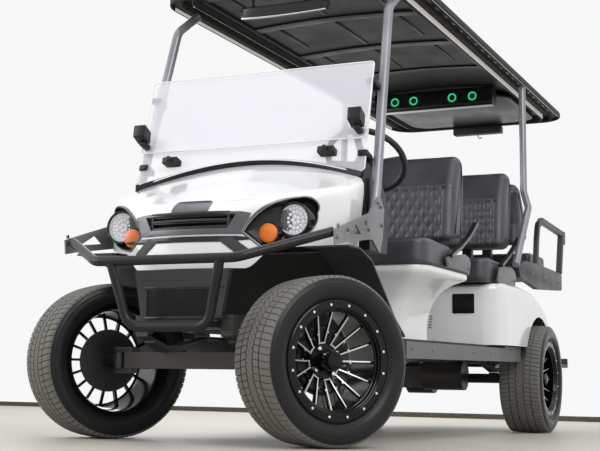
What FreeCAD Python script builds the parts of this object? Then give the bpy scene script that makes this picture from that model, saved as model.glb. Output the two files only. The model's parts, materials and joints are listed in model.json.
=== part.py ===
"""A six-seat lifted golf cart, built the way the real vehicle is: frame, axles, shells, seats and roof.

Millimetres. +Z is up, the cart faces -Y, and +X is its left side. The origin lies on the floor
under the middle of the whole cart. Stations are measured back from the front axle, and heights
from the floor. The sprung body sits a little nose-down on its springs, so it is drawn level and
then turned about the front axle centre; the wheels and axles stay level.
"""
import FreeCAD, Part
import Sketcher
import math
import os
import re
from FreeCAD import Placement, Rotation, Vector

# name, value in millimetres or degrees
SIZES = (
    # overall
    ("front_axle_y", -1642.1), ("wheelbase", 2722.0), ("rake", 1.5), ("seat_gap", 0.3),
    # wheels
    ("tyre_radius", 292.0), ("tyre_width", 235.0), ("tread_width", 196.0), ("bead_radius", 190.5),
    ("tyre_wall", 13.0), ("shoulder_drop", 22.0), ("side_drop", 62.0),
    ("rim_width", 190.0), ("rim_wall", 7.0), ("lip_radius", 207.0), ("lip_thick", 9.0),
    ("ring_inner", 166.0), ("hub_radius", 58.0), ("disc_front", 82.0),
    ("disc_thick", 16.0), ("spoke_width", 11.0), ("spoke_pairs", 8.0), ("inner_window", 61.0),
    ("outer_window", 92.0), ("drum_radius", 110.0), ("drum_length", 62.0), ("cap_radius", 34.0),
    ("cap_length", 22.0),
    ("spindle_radius", 15.0), ("running_fit", 0.05),
    ("track_front", 963.0), ("track_rear", 1085.0), ("steer_angle", 32.0), ("steer_offset", 100.0),
    # axles and springs
    ("beam_height", 60.0), ("beam_depth", 50.0), ("lug_thick", 18.0), ("lug_width", 48.0),
    ("kingpin_radius", 10.0), ("barrel_radius", 20.0), ("barrel_gap", 0.4),
    ("plate_radius", 118.0), ("plate_thick", 7.0), ("axle_tube", 26.0),
    ("gear_case_x", -90.0), ("gear_case_radius", 88.0), ("gear_case_width", 150.0),
    ("motor_radius", 80.0), ("motor_length", 230.0), ("motor_ahead", 165.0),
    ("spring_width", 45.0), ("spring_leaf", 8.0), ("spring_half", 270.0), ("spring_front", 190.0),
    ("spring_rise", 44.0), ("pad_half", 40.0), ("pad_rise", 6.0), ("front_spring_x", 170.0),
    ("rear_spring_x", 335.0), ("rear_spring_half", 330.0),
    # frame and floor
    ("rail_x", 170.0), ("rail_width", 50.0), ("rail_low", 330.0), ("rail_high", 378.0),
    ("front_rail_low", 400.0), ("front_rail_high", 450.0),
    ("kick_station", 500.0), ("rail_end", 838.0), ("cross_depth", 50.0),
    ("sill_inner", 505.0), ("sill_outer", 560.0), ("sill_low", 311.0), ("sill_high", 377.0),
    ("sill_front", 566.0), ("sill_rear", 2410.0), ("sill_step", 2080.0), ("sill_step_high", 388.0),
    ("floor_thick", 12.0), ("toe_station", 385.0), ("toe_top_station", 262.0),
    ("toe_top", 700.0), ("floor_rear", 1990.0),
    # battery pack
    ("pack_half", 300.0), ("pack_front", 930.0), ("pack_rear", 1240.0), ("pack_top", 620.0),
    # cowl
    ("wall", 5.0), ("nose_station", -190.0), ("nose_radius", 555.0), ("cowl_half", 497.0),
    ("cowl_low", 694.0), ("cowl_rear", 330.0), ("nose_half", 230.0), ("skirt_half", 394.0),
    ("cowl_front_shoulder", 812.0), ("cowl_front_crown", 820.0), ("cowl_mid_shoulder", 904.0),
    ("cowl_mid_crown", 948.0), ("cowl_rear_shoulder", 1001.0), ("cowl_rear_crown", 1070.0),
    ("recess_depth", 24.0), ("tray_depth", 52.0), ("tray_lap", 5.0),
    ("slot_half", 150.0), ("slot_low", 762.0), ("slot_high", 806.0), ("slot_bar", 8.0),
    ("slot_depth", 60.0),
    # lamps
    ("lamp_x", 355.0), ("lamp_station", -46.0), ("lamp_height", 787.0), ("lamp_radius", 65.0),
    ("lamp_depth", 110.0), ("turn_x", 286.0), ("turn_station", -107.0), ("turn_height", 738.0),
    ("turn_radius", 36.5), ("turn_depth", 70.0), ("lamp_fit", 0.4),
    # lower front panel
    ("panel_station", -215.0), ("panel_thick", 22.0), ("panel_top", 608.0), ("panel_bottom", 425.0),
    ("panel_top_half", 190.0), ("panel_bottom_half", 158.0), ("mesh_low", 445.0),
    ("mesh_high", 538.0), ("mesh_half", 138.0), ("mesh_depth", 8.0),
    # brush guard and strut brackets
    ("guard_radius", 17.0), ("guard_station", -334.0), ("guard_height", 632.0),
    ("guard_half", 277.0), ("guard_end_station", -114.0),
    ("guard_end_height", 732.0), ("hoop_top_half", 215.0), ("hoop_bottom_half", 157.0),
    ("hoop_station", -300.0), ("hoop_bottom", 404.0), ("guard_bend", 60.0),
    ("bracket_x", 546.0), ("bracket_thick", 6.0),
    # fender flares
    ("flare_inner", 395.0), ("flare_outer", 560.0), ("flare_thick", 6.0),
    # dash and steering
    ("dash_half", 494.7), ("dash_rear", 520.0), ("dash_low", 712.0), ("dash_high", 985.0),
    ("wheel_x", 300.0), ("wheel_station", 800.0), ("wheel_height", 1140.0), ("column_angle", 40.0),
    ("wheel_ring", 166.0), ("wheel_grip", 13.0), ("column_radius", 24.0), ("column_length", 520.0),
    ("hub_cap_radius", 46.0), ("spoke_radius", 8.0), ("shaft_radius", 10.0),
    # front seat base
    ("base_front", 840.0), ("base_rear", 1264.0), ("base_half", 440.0), ("base_top", 700.0),
    ("base_corner", 90.0),
    # rear body
    ("pod_front", 1935.0), ("pod_half", 590.0), ("pod_corner", 105.0),
    ("pod_top", 700.0), ("arch_radius", 338.0),
    # seats
    ("cushion_half", 530.0), ("cushion_front", 880.0), ("cushion_depth", 394.0),
    ("cushion_thick", 128.0), ("cushion_corner", 110.0),
    ("row_pitch", 980.0), ("row_rise", 60.0), ("row_lead", 84.0), ("row_trim", 50.0),
    ("back_half", 530.0), ("rear_half", 505.0),
    ("rear_cushion_front", 163.0), ("rear_cushion_depth", 370.0), ("rear_cushion_thick", 104.0),
    # hip restraints
    ("restraint_x", 542.0), ("restraint_thick", 8.0), ("arm_radius", 10.0),
    ("arm_x", 548.0),
    # roof
    ("strut_radius", 19.0), ("roof_half", 563.0), ("roof_low", 1845.0), ("roof_rim", 34.0),
    ("roof_crown", 66.0), ("roof_front", 500.0), ("roof_rear", 913.0), ("roof_corner", 150.0),
    ("roof_skin", 10.0), ("rib_width", 14.0), ("rib_depth", 16.0), ("rib_count", 9.0),
    ("rear_strut_x", 532.0), ("rear_strut_foot_x", 578.0),
    # windshield
    ("glass_thick", 5.0), ("glass_half", 495.0), ("glass_low_station", 266.0),
    ("glass_low", 985.0), ("fold_station", 402.0), ("fold_height", 1447.0),
    ("flap_share", 0.6852), ("flap_gap", 14.0),
    # mirror, sound bar, roof box
    ("mirror_half", 200.0), ("mirror_station", 590.0), ("mirror_low", 1752.0),
    ("mirror_high", 1812.0), ("mirror_depth", 26.0),
    ("bar_half", 356.0), ("bar_station", -32.0), ("bar_low", 1768.0),
    ("bar_depth", 95.0),
    ("box_half", 160.0), ("box_station", 868.0), ("box_depth", 60.0), ("box_height", 52.0),
    # rear deck, arm frames and foot platform
    ("deck_front", -122.0), ("deck_rear", 514.0), ("deck_low", 792.0), ("deck_thick", 46.0),
    ("arm_inner", 531.0), ("arm_outer", 560.0), ("arm_front", 171.0), ("arm_rear", 891.0),
    ("arm_top", 1150.0), ("arm_low", 722.0), ("arm_bar", 36.0), ("arm_band", 866.0),
    ("step_front", 408.0), ("step_rear", 923.0), ("step_low", 282.0), ("step_thick", 26.0),
    ("step_half", 556.0), ("step_lip", 60.0),
)

doc = FreeCAD.newDocument("golf_cart")
sheet = doc.addObject("Spreadsheet::Sheet", "Sizes")
for row, (alias, number) in enumerate(SIZES, start=1):
    sheet.set(f"A{row}", alias)
    sheet.set(f"B{row}", str(number))
    sheet.setAlias(f"B{row}", alias)
doc.recompute()
NAMES = {alias for alias, number in SIZES}
size = {alias: float(getattr(sheet, alias)) for alias in NAMES}
nodes = []


def formula(text):
    """A formula in plain size names, as the sheet's own expression."""
    return re.sub(r"[a-z]\w*", lambda found: "Sizes." + found.group() if found.group() in NAMES
                  else found.group(), text)


def bind(piece, **links):
    """Bind properties to formulas; a double underscore stands for a dot."""
    for key, text in links.items():
        piece.setExpression(key.replace("__", "."), formula(text))
    return piece


def box(name, x, y, z):
    """A block between low and high formulas on each axis."""
    piece = doc.addObject("Part::Box", name)
    for side, base, (low, high) in (("Length", "x", x), ("Width", "y", y), ("Height", "z", z)):
        bind(piece, **{side: f"({high}) - ({low})", "Placement__Base__" + base: low})
    return piece


TURNS = {"X": Rotation(Vector(0, 1, 0), 90), "Y": Rotation(Vector(1, 0, 0), -90), "Z": Rotation()}


def rod(name, radius, length, start, axis):
    """A cylinder from a start point along a positive axis."""
    piece = doc.addObject("Part::Cylinder", name)
    piece.Placement = Placement(Vector(), TURNS[axis])
    bind(piece, Radius=radius, Height=length)
    for base, text in zip("xyz", start):
        bind(piece, **{"Placement__Base__" + base: text})
    return piece


def joined(name, pieces):
    piece = doc.addObject("Part::MultiFuse", name)
    piece.Shapes = pieces
    return piece


def cut(name, base, tools):
    piece = doc.addObject("Part::Cut", name)
    piece.Base = base
    piece.Tool = tools[0] if len(tools) == 1 else joined(name + "_tools", tools)
    return piece


def mirrored(source):
    piece = doc.addObject("Part::Mirroring", source.Name + "_right")
    piece.Source = source
    piece.Normal = Vector(1, 0, 0)
    return piece


def pair(name, source):
    """The piece on the left side and its mirror image on the right."""
    return joined(name, [source, mirrored(source)])


def held(name, shape):
    """A shape made with Part's own functions."""
    piece = doc.addObject("Part::Feature", name)
    piece.Shape = shape
    return piece


def closed_sketch(body, name, role, corners, lift):
    """A closed outline on one of the body's planes, each corner bound to two formulas."""
    plane = next(item for item in body.Origin.OriginFeatures if item.Role == role)
    sketch = body.newObject("Sketcher::SketchObject", name)
    sketch.AttachmentSupport = [(plane, "")]
    sketch.MapMode = "FlatFace"
    bind(sketch, AttachmentOffset__Base__z=lift)
    count = len(corners)
    ring = [Vector(100 * math.cos(2 * math.pi * k / count), 100 * math.sin(2 * math.pi * k / count))
            for k in range(count)]
    for k in range(count):
        sketch.addGeometry(Part.LineSegment(ring[k], ring[(k + 1) % count]))
    for k in range(count):
        sketch.addConstraint(Sketcher.Constraint("Coincident", k, 2, (k + 1) % count, 1))
    for k, corner in enumerate(corners):
        for kind, text in zip(("DistanceX", "DistanceY"), corner):
            index = sketch.addConstraint(Sketcher.Constraint(kind, -1, 1, k, 1, 10.0))
            sketch.setExpression(f"Constraints[{index}]", formula(text))
    return sketch


def axis_of(role):
    return {"YZ_Plane": Vector(1, 0, 0), "XZ_Plane": Vector(0, -1, 0),
            "XY_Plane": Vector(0, 0, 1)}[role]


def edges_at(feature, sketch, picks, role):
    """The straight edges that rise from the picked corners of a sketch."""
    normal = axis_of(role)
    names = []
    for k in picks:
        spot = sketch.Placement.multVec(sketch.Geometry[k].StartPoint)
        for index, edge in enumerate(feature.Shape.Edges, start=1):
            if len(edge.Vertexes) != 2 or edge.Curve.TypeId != "Part::GeomLine":
                continue
            along = edge.Vertexes[1].Point - edge.Vertexes[0].Point
            off = edge.Vertexes[0].Point - spot
            if along.cross(normal).Length < 1e-4 and off.cross(normal).Length < 1e-3:
                names.append(f"Edge{index}")
    return names


def extruded(name, role, corners, low, high, rounds=(), windows=()):
    """A padded outline from low to high along its plane's axis.

    rounds: (radius formula, corner numbers); windows: outlines cut right through.
    """
    body = doc.addObject("PartDesign::Body", name)
    back = role == "XZ_Plane"
    lift = f"-({high})" if back else low
    sketch = closed_sketch(body, name + "_outline", role, corners, lift)
    pad = body.newObject("PartDesign::Pad", name + "_pad")
    pad.Profile = sketch
    bind(pad, Length=f"({high}) - ({low})")
    doc.recompute()
    last = pad
    for number, (radius, picks) in enumerate(rounds):
        edges = edges_at(last, sketch, picks, role)
        fillet = body.newObject("PartDesign::Fillet", f"{name}_round{number}")
        fillet.Base = (last, edges)
        bind(fillet, Radius=radius)
        doc.recompute()
        last = fillet
    for number, window in enumerate(windows):
        hole = closed_sketch(body, f"{name}_window{number}_outline", role, window, lift)
        pocket = body.newObject("PartDesign::Pocket", f"{name}_window{number}")
        pocket.Profile = hole
        pocket.Type = "ThroughAll"
        pocket.Midplane = True
        doc.recompute()
    return body


def bent_path(points, bend):
    """Straight runs joined by tangent arcs of one bend radius."""
    edges = []
    last = points[0]
    for before, corner, after in zip(points, points[1:], points[2:]):
        into = (corner - before).normalize()
        out = (after - corner).normalize()
        turn = into.getAngle(out)
        reach = bend * math.tan(turn / 2)
        first = corner - into * reach
        final = corner + out * reach
        middle = (out - into).normalize()
        centre = corner + middle * (bend / math.cos(turn / 2))
        edges.append(Part.makeLine(last, first))
        edges.append(Part.Arc(first, centre - middle * bend, final).toShape())
        last = final
    edges.append(Part.makeLine(last, points[-1]))
    return Part.Wire(edges)


def tube(points, radius, bend):
    """A round bar along a bent path."""
    path = bent_path(points, bend)
    start = path.Edges[0]
    ring = Part.makeCircle(radius, points[0], start.tangentAt(start.FirstParameter))
    return path.makePipeShell([Part.Wire([ring])], True, False)


def polygon(points):
    return Part.Face(Part.makePolygon(list(points) + [points[0]]))


axle_place = Placement(Vector(0, size["front_axle_y"], 0), Rotation())
axle_centre = Vector(0, 0, size["tyre_radius"])
body_place = (Placement(Vector(0, size["front_axle_y"], 0), Rotation())
              * Placement(axle_centre, Rotation(Vector(1, 0, 0), size["rake"]))
              * Placement(-axle_centre, Rotation()))
rear_drop = size["wheelbase"] * math.sin(math.radians(size["rake"]))


def axle_station(name):
    """A size that is measured behind the rear axle, as a station."""
    return size["wheelbase"] + size[name]


def keep(piece, label, place):
    """Name a finished piece as a sub-part and put it in its place."""
    if piece.TypeId == "Part::Box":
        # a block's own place is bound to the sheet, so the sub-part is a set that holds it
        block = piece
        piece = doc.addObject("Part::Compound", label + "_set")
        piece.Links = [block]
    piece.Label = label
    piece.Placement = place * piece.Placement
    nodes.append(piece)


def make_tyre(label, place):
    body = doc.addObject("PartDesign::Body", label + "_body")
    half = "tyre_width / 2"
    tread = "tread_width / 2"
    bead = "rim_width / 2"
    corners = [
        (f"-{tread}", "tyre_radius"), (tread, "tyre_radius"),
        (f"{half} - 6", "tyre_radius - shoulder_drop"), (half, "tyre_radius - side_drop"),
        (bead, "lip_radius + 1"), (bead, "bead_radius"), (f"{bead} - tyre_wall", "bead_radius"),
        (f"{half} - tyre_wall", "tyre_radius - side_drop"),
        (tread + " - tyre_wall", "tyre_radius - tyre_wall"),
        (f"-{tread} + tyre_wall", "tyre_radius - tyre_wall"),
        (f"-{half} + tyre_wall", "tyre_radius - side_drop"),
        (f"-{bead} + tyre_wall", "bead_radius"), (f"-{bead}", "bead_radius"),
        (f"-{bead}", "lip_radius + 1"),
        (f"-{half}", "tyre_radius - side_drop"), (f"-{half} + 6", "tyre_radius - shoulder_drop")]
    sketch = closed_sketch(body, label + "_section", "XY_Plane", corners, "0")
    turned = body.newObject("PartDesign::Revolution", label + "_ring")
    turned.Profile = sketch
    turned.ReferenceAxis = (sketch, ["H_Axis"])
    turned.Angle = 360
    keep(body, label, place)


def spoke_window(body, label, inner, turn):
    """One opening between two spokes, repeated round the hub."""
    reach = "tan(360 / (spoke_pairs * 4))"
    slim = "spoke_width / 2"
    far = "ring_inner - 3"
    corners = [(inner, f"-({inner}) * {reach} + {slim}"), (far, f"-({far}) * {reach} + {slim}"),
               (far, f"({far}) * {reach} - {slim}"), (inner, f"({inner}) * {reach} - {slim}")]
    sketch = closed_sketch(body, label + "_outline", "YZ_Plane", corners, "0")
    sketch.AttachmentOffset = Placement(Vector(), Rotation(Vector(0, 0, 1), turn))
    pocket = body.newObject("PartDesign::Pocket", label)
    pocket.Profile = sketch
    pocket.Type = "ThroughAll"
    pocket.Midplane = False
    pocket.Reversed = True
    pattern = body.newObject("PartDesign::PolarPattern", label + "_ring")
    pattern.Originals = [pocket]
    pattern.Axis = (next(item for item in body.Origin.OriginFeatures if item.Role == "X_Axis"), [""])
    pattern.Angle = 360
    bind(pattern, Occurrences="spoke_pairs")
    body.Tip = pattern
    doc.recompute()


def make_rim(label, place):
    body = doc.addObject("PartDesign::Body", label + "_body")
    seat = "bead_radius - seat_gap"
    inner = "bead_radius - seat_gap - rim_wall"
    side = "rim_width / 2"
    bore = "spindle_radius + running_fit"
    drum = "disc_front - disc_thick - drum_length"
    corners = [
        (drum, bore), (drum, "drum_radius"), ("disc_front - disc_thick - 6", "drum_radius"),
        ("disc_front - disc_thick", "hub_radius"), ("disc_front - disc_thick", inner),
        (f"-{side} - lip_thick", inner), (f"-{side} - lip_thick", "lip_radius"),
        (f"-{side} - seat_gap", "lip_radius"), (f"-{side} - seat_gap", seat),
        (f"{side} + seat_gap", seat), (f"{side} + seat_gap", "lip_radius"),
        (f"{side} + lip_thick", "lip_radius"), (f"{side} + lip_thick", "ring_inner"),
        ("disc_front", "ring_inner"), ("disc_front", "cap_radius"),
        ("disc_front + cap_length", "cap_radius - 6"), ("disc_front + cap_length", bore)]
    sketch = closed_sketch(body, label + "_section", "XY_Plane", corners, "0")
    turned = body.newObject("PartDesign::Revolution", label + "_turned")
    turned.Profile = sketch
    turned.ReferenceAxis = (sketch, ["H_Axis"])
    turned.Angle = 360
    doc.recompute()
    spoke_window(body, label + "_wide", "inner_window", 0)
    spoke_window(body, label + "_short", "outer_window", 180 / size["spoke_pairs"])
    keep(body, label, place)


def make_wheels():
    lift = size["tyre_radius"]
    kingpin = size["track_front"] / 2 - size["steer_offset"]
    turn = Rotation(Vector(0, 0, 1), -size["steer_angle"])
    for side, name in ((1, "left"), (-1, "right")):
        hub = Placement(Vector(side * kingpin, size["front_axle_y"], lift), turn)
        half_turn = Rotation(Vector(0, 0, 1), 0 if side > 0 else 180)
        front = hub * Placement(Vector(side * size["steer_offset"], 0, 0), half_turn)
        rear = Placement(Vector(side * size["track_rear"] / 2, size["front_axle_y"]
                                + size["wheelbase"], lift), half_turn)
        for end, place in (("front", front), ("rear", rear)):
            make_tyre(f"tyre_{end}_{name}", place)
            make_rim(f"rim_{end}_{name}", place)
        make_knuckle(f"knuckle_{name}", hub, side)


def make_knuckle(label, place, side):
    """Barrel on the kingpin, brake backing plate, spindle and steering arm."""
    low = "-beam_height / 2"
    barrel = rod(label + "_barrel", "barrel_radius", "beam_height", ("0", "0", low), "Z")
    plate_x = "steer_offset + disc_front - disc_thick - drum_length - plate_thick - 4"
    neck = rod(label + "_neck", "26", plate_x, ("0", "0", "0"), "X")
    plate = rod(label + "_plate", "plate_radius", "plate_thick", (plate_x, "0", "0"), "X")
    spindle = rod(label + "_spindle", "spindle_radius", "steer_offset + disc_front", ("0", "0", "0"),
                  "X")
    arm = box(label + "_arm", ("-10", "10"), ("0", "120"), (low, f"{low} + 16"))
    solid = joined(label + "_solid", [barrel, neck, plate, spindle, arm])
    pin = rod(label + "_bore", "kingpin_radius + running_fit", "beam_height + 20",
              ("0", "0", f"{low} - 10"), "Z")
    knuckle = cut(label + "_cut", solid, [pin])
    if side < 0:
        group = doc.addObject("Part::Compound", label + "_set")
        group.Links = [mirrored(knuckle)]
        knuckle = group
    keep(knuckle, label, place)


def make_front_axle():
    kingpin = "(track_front / 2 - steer_offset)"
    middle = "tyre_radius"
    low = f"{middle} - beam_height / 2"
    high = f"{middle} + beam_height / 2"
    web = f"{kingpin} - barrel_radius - 16"
    pieces = [box("beam", (f"-({web})", web), ("-beam_depth / 2", "beam_depth / 2"), (low, high))]
    for name, low_z in (("upper", f"{high} + barrel_gap"), ("lower", f"{low} - barrel_gap - lug_thick")):
        top_z = f"{low_z} + lug_thick"
        lug = box(name + "_lug", (f"{web} - 30", kingpin), ("-lug_width / 2", "lug_width / 2"),
                  (low_z, top_z))
        eye = rod(name + "_eye", "lug_width / 2", "lug_thick", (kingpin, "0", low_z), "Z")
        pieces += [lug, eye, mirrored(lug), mirrored(eye)]
    cheek = box("cheek", (f"{web} - 30", web), ("-lug_width / 2", "lug_width / 2"),
                (f"{low} - barrel_gap - 4", f"{high} + barrel_gap + 4"))
    pin = rod("kingpin", "kingpin_radius", "beam_height + 2 * lug_thick + 2 * barrel_gap",
              (kingpin, "0", f"{low} - lug_thick - barrel_gap"), "Z")
    pieces += [cheek, pin, mirrored(cheek), mirrored(pin)]
    keep(joined("front_axle_solid", pieces), "front_axle", axle_place)


def make_rear_axle():
    """Axle tube, gear case, motor, brake backing plates and hub spindles."""
    spot = ("0", "wheelbase", "tyre_radius")
    plate_x = "track_rear / 2 + disc_front - disc_thick - drum_length - plate_thick - 4"
    tube_piece = rod("axle_tube_piece", "axle_tube", f"2 * ({plate_x})", (f"-({plate_x})",) + spot[1:],
                     "X")
    case = rod("gear_case", "gear_case_radius", "gear_case_width",
               ("gear_case_x - gear_case_width / 2",) + spot[1:], "X")
    motor = rod("motor", "motor_radius", "motor_length",
                ("gear_case_x + gear_case_width / 2 - 4", "wheelbase - motor_ahead", "tyre_radius + 10"),
                "X")
    neck = box("motor_neck", ("gear_case_x - gear_case_width / 2", "gear_case_x + gear_case_width / 2"),
               ("wheelbase - motor_ahead", "wheelbase"), ("tyre_radius - 60", "tyre_radius + 60"))
    plate = rod("rear_plate", "plate_radius", "plate_thick", (plate_x,) + spot[1:], "X")
    spindle = rod("rear_spindle", "spindle_radius",
                  f"track_rear / 2 + disc_front - ({plate_x})", (plate_x,) + spot[1:], "X")
    pad = box("spring_pad", ("rear_spring_x - spring_width / 2", "rear_spring_x + spring_width / 2"),
              ("wheelbase - pad_half", "wheelbase + pad_half"),
              ("tyre_radius", "tyre_radius + axle_tube + pad_rise"))
    pieces = [tube_piece, case, motor, neck, plate, spindle, pad]
    pieces += [mirrored(plate), mirrored(spindle), mirrored(pad)]
    keep(joined("rear_axle_solid", pieces), "rear_axle", axle_place)


def leaf_spring(name, x, station, base, ahead, half, rise):
    """Stacked leaves seen from the side, bowed up to the eyes in front and behind."""
    leaf = "spring_leaf"
    y = f"({station})"
    slope = f"({rise}) / ({half})"
    corners = [
        (f"{y} - {ahead}", f"{base} + {rise}"), (f"{y} - {ahead} * 0.7", f"{base} + {rise} * 0.7"),
        (f"{y} - {ahead} * 0.7", f"{base} + {rise} * 0.7 - {leaf}"),
        (f"{y} - 45", f"{base} - {leaf}"), (f"{y} + 45", f"{base} - {leaf}"),
        (f"{y} + {half} * 0.7", f"{base} + {rise} * 0.7 - {leaf}"),
        (f"{y} + {half} * 0.7", f"{base} + {rise} * 0.7"), (f"{y} + {half}", f"{base} + {rise}"),
        (f"{y} + {half}", f"{base} + {rise} + {leaf}"),
        (f"{y} + 45", f"{base} + {leaf} + 45 * {slope}"), (f"{y} - 45", f"{base} + {leaf} + 45 * {slope}"),
        (f"{y} - {ahead}", f"{base} + {rise} + {leaf}")]
    return extruded(name, "YZ_Plane", corners, f"{x} - spring_width / 2", f"{x} + spring_width / 2")


def make_springs():
    front_base = "(tyre_radius + beam_height / 2 + spring_leaf + beam_depth / 2 * sin(rake) + seat_gap)"
    rear_base = ("(tyre_radius - wheelbase * sin(rake) + axle_tube + pad_rise + spring_leaf"
                 " + pad_half * sin(rake) + seat_gap * 3)")
    front = leaf_spring("front_leaves", "front_spring_x", "0", front_base, "spring_front",
                        "spring_half", "spring_rise")
    rear = leaf_spring("rear_leaves", "rear_spring_x", "wheelbase", rear_base, "rear_spring_half",
                       "rear_spring_half", f"(rail_low - seat_gap - spring_leaf - {rear_base})")
    keep(joined("spring_solids", [front, mirrored(front), rear, mirrored(rear)]), "springs", body_place)


def make_frame():
    """A ladder of box tube: two long rails with separate cross tubes and outriggers between them."""
    rail_in = "rail_x - rail_width / 2"
    rail_out = "rail_x + rail_width / 2"
    back = box("back_rail", (rail_in, rail_out), ("kick_station", "wheelbase + rail_end"),
               ("rail_low", "rail_high"))
    start = "(panel_station + panel_thick + seat_gap)"
    front = box("front_rail", (rail_in, rail_out), (start, "kick_station + 60"),
                ("front_rail_low", "front_rail_high"))
    riser = box("riser", (rail_in, rail_out), ("kick_station", "kick_station + 60"),
                ("rail_low", "front_rail_high"))
    rail = joined("rail", [back, front, riser])
    members = [rail, mirrored(rail)]
    # name, station, half width, low, high
    crosses = (
        ("nose_cross", start, "0", "front_rail_low", "front_rail_high"),
        ("foot_cross", "sill_front + 40", "sill_inner", "rail_low", "rail_high"),
        ("seat_cross", "base_front + 150", "sill_inner", "rail_low", "rail_high"),
        ("mid_cross", "base_rear + 60", "sill_inner", "rail_low", "rail_high"),
        ("pod_cross", "pod_front + 60", "sill_inner", "rail_low", "rail_high"),
        ("spring_front_cross", "wheelbase - rear_spring_half - 25", "rear_spring_x + 40", "rail_low",
         "rail_high"),
        ("spring_rear_cross", "wheelbase + rear_spring_half - 25", "rear_spring_x + 40", "rail_low",
         "rail_high"),
        ("tail_cross", "wheelbase + rail_end - cross_depth", "sill_inner", "rail_low", "rail_high"))
    for name, station, half, low, high in crosses:
        depth = (station, f"{station} + cross_depth")
        members.append(box(name, (f"seat_gap - ({rail_in})", f"{rail_in} - seat_gap"), depth, (low, high)))
        if half != "0":
            arm = box(name + "_arm", (f"{rail_out} + seat_gap", half), depth, (low, high))
            members += [arm, mirrored(arm)]
    # spring hangers: name, x, station, top, bottom
    eye_front = ("tyre_radius + beam_height / 2 + 2 * spring_leaf + beam_depth / 2 * sin(rake)"
                 " + 2 * seat_gap + spring_rise")
    for name, station in (("hanger_a", "-spring_front"), ("hanger_b", "spring_half - 36")):
        hanger = box(name, (rail_in, rail_out), (station, f"{station} + 36"),
                     (f"{eye_front}", "front_rail_low - seat_gap"))
        members += [hanger, mirrored(hanger)]
    post = box("deck_post", ("330", "370"), ("wheelbase + rear_spring_half - 20",
               "wheelbase + rear_spring_half + 20"), ("rail_high + seat_gap", "deck_low"))
    members += [post, mirrored(post)]
    ladder = doc.addObject("Part::Compound", "ladder")
    ladder.Links = members
    keep(ladder, "frame", body_place)


def make_sills():
    corners = [("sill_front", "sill_low"), ("sill_rear", "sill_low"), ("sill_rear", "sill_step_high"),
               ("sill_step", "sill_step_high"), ("sill_step", "sill_high"), ("sill_front", "sill_high")]
    sill = extruded("sill", "YZ_Plane", corners, "sill_inner + seat_gap", "sill_outer")
    keep(pair("sill_pair", sill), "sills", body_place)


def make_floor():
    thick = "floor_thick"
    base = "(rail_high + seat_gap)"
    corners = [("toe_station", base), ("floor_rear", base), ("floor_rear", f"{base} + {thick}"),
               (f"toe_station + {thick} * 0.6", f"{base} + {thick}"),
               (f"toe_top_station + {thick}", "toe_top"), ("toe_top_station", "toe_top")]
    # the flat floor stands on the rails, the toe board leans up in front of it
    floor = extruded("floor_plate", "YZ_Plane", corners, "-(sill_inner - seat_gap)",
                     "sill_inner - seat_gap")
    slot = box("riser_slot", ("-(rail_x + rail_width)", "rail_x + rail_width"),
               ("toe_top_station - 10", "kick_station + 70"), ("rail_high - 5", "front_rail_high + 8"))
    corner = box("flare_corner", ("flare_inner - seat_gap", "sill_inner + 10"),
                 ("toe_top_station - 10", "toe_station + 120"), (f"{base} + {thick}", "toe_top + 10"))
    keep(cut("floor_cut", floor, [slot, corner, mirrored(corner)]), "floor", body_place)


def make_battery_pack():
    block = box("battery_block", ("-pack_half", "pack_half"), ("pack_front", "pack_rear"),
                ("rail_high + floor_thick + 2 * seat_gap", "pack_top"))
    keep(block, "battery_pack", body_place)


def cowl_section(half, low, shoulder, crown, station):
    """One cross-section of the cowl: two sides, an arched top and a flat bottom."""
    left = Vector(-half, station, low)
    right = Vector(half, station, low)
    left_top = Vector(-half, station, shoulder)
    right_top = Vector(half, station, shoulder)
    arch = Part.Arc(left_top, Vector(0, station, crown), right_top).toShape()
    return Part.Wire([Part.makeLine(right, left), Part.makeLine(left, left_top), arch,
                      Part.makeLine(right_top, right)])


def plan_outline(half, front, radius, rear, low, high):
    """A D-shaped column: round nose, straight sides."""
    reach = front + radius - math.sqrt(radius ** 2 - half ** 2)
    nose = Part.Arc(Vector(-half, reach, low), Vector(0, front, low), Vector(half, reach, low)).toShape()
    wire = Part.Wire([nose, Part.makeLine(Vector(half, reach, low), Vector(half, rear, low)),
                      Part.makeLine(Vector(half, rear, low), Vector(-half, rear, low)),
                      Part.makeLine(Vector(-half, rear, low), Vector(-half, reach, low))])
    return Part.Face(wire).extrude(Vector(0, 0, high - low))


def cowl_form(inset, bottom):
    """The cowl's outer form, or its hollow when inset by the wall."""
    front = size["nose_station"]
    rear = size["cowl_rear"]
    half = size["cowl_half"] - inset
    # station, shoulder height, crown height
    rows = ((front - 10, size["cowl_front_shoulder"], size["cowl_front_crown"]),
            ((front + rear) / 2, size["cowl_mid_shoulder"], size["cowl_mid_crown"]),
            (rear + 10, size["cowl_rear_shoulder"], size["cowl_rear_crown"]))
    wires = [cowl_section(half + 5, bottom, shoulder - inset, crown - inset, station)
             for station, shoulder, crown in rows]
    loft = Part.makeLoft(wires, True, False)
    column = plan_outline(half, front + inset, size["nose_radius"] - inset, rear + (1 if inset else 0),
                          bottom - 1, 1200)
    return loft.common(column)


def nose_form(inset, bottom):
    """The skirt under the cowl's edge, narrower below."""
    half = size["skirt_half"] - inset
    low_half = size["nose_half"] - inset
    edge = size["cowl_low"]
    radius = size["nose_radius"] - inset
    front = size["nose_station"] + inset
    rear = front + radius - math.sqrt(radius ** 2 - half ** 2) + 4 + 2 * inset
    column = plan_outline(half, front, radius, rear, bottom, edge + 30)
    slope = (half - low_half) / (edge - size["panel_top"])
    spread = low_half - slope * (size["panel_top"] - bottom)
    outline = [(-spread, bottom), (spread, bottom), (half, edge), (half, edge + 40), (-half, edge + 40),
               (-half, edge)]
    face = polygon([Vector(x, front - 10, z) for x, z in outline])
    return column.common(face.extrude(Vector(0, 300, 0)))


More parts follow.
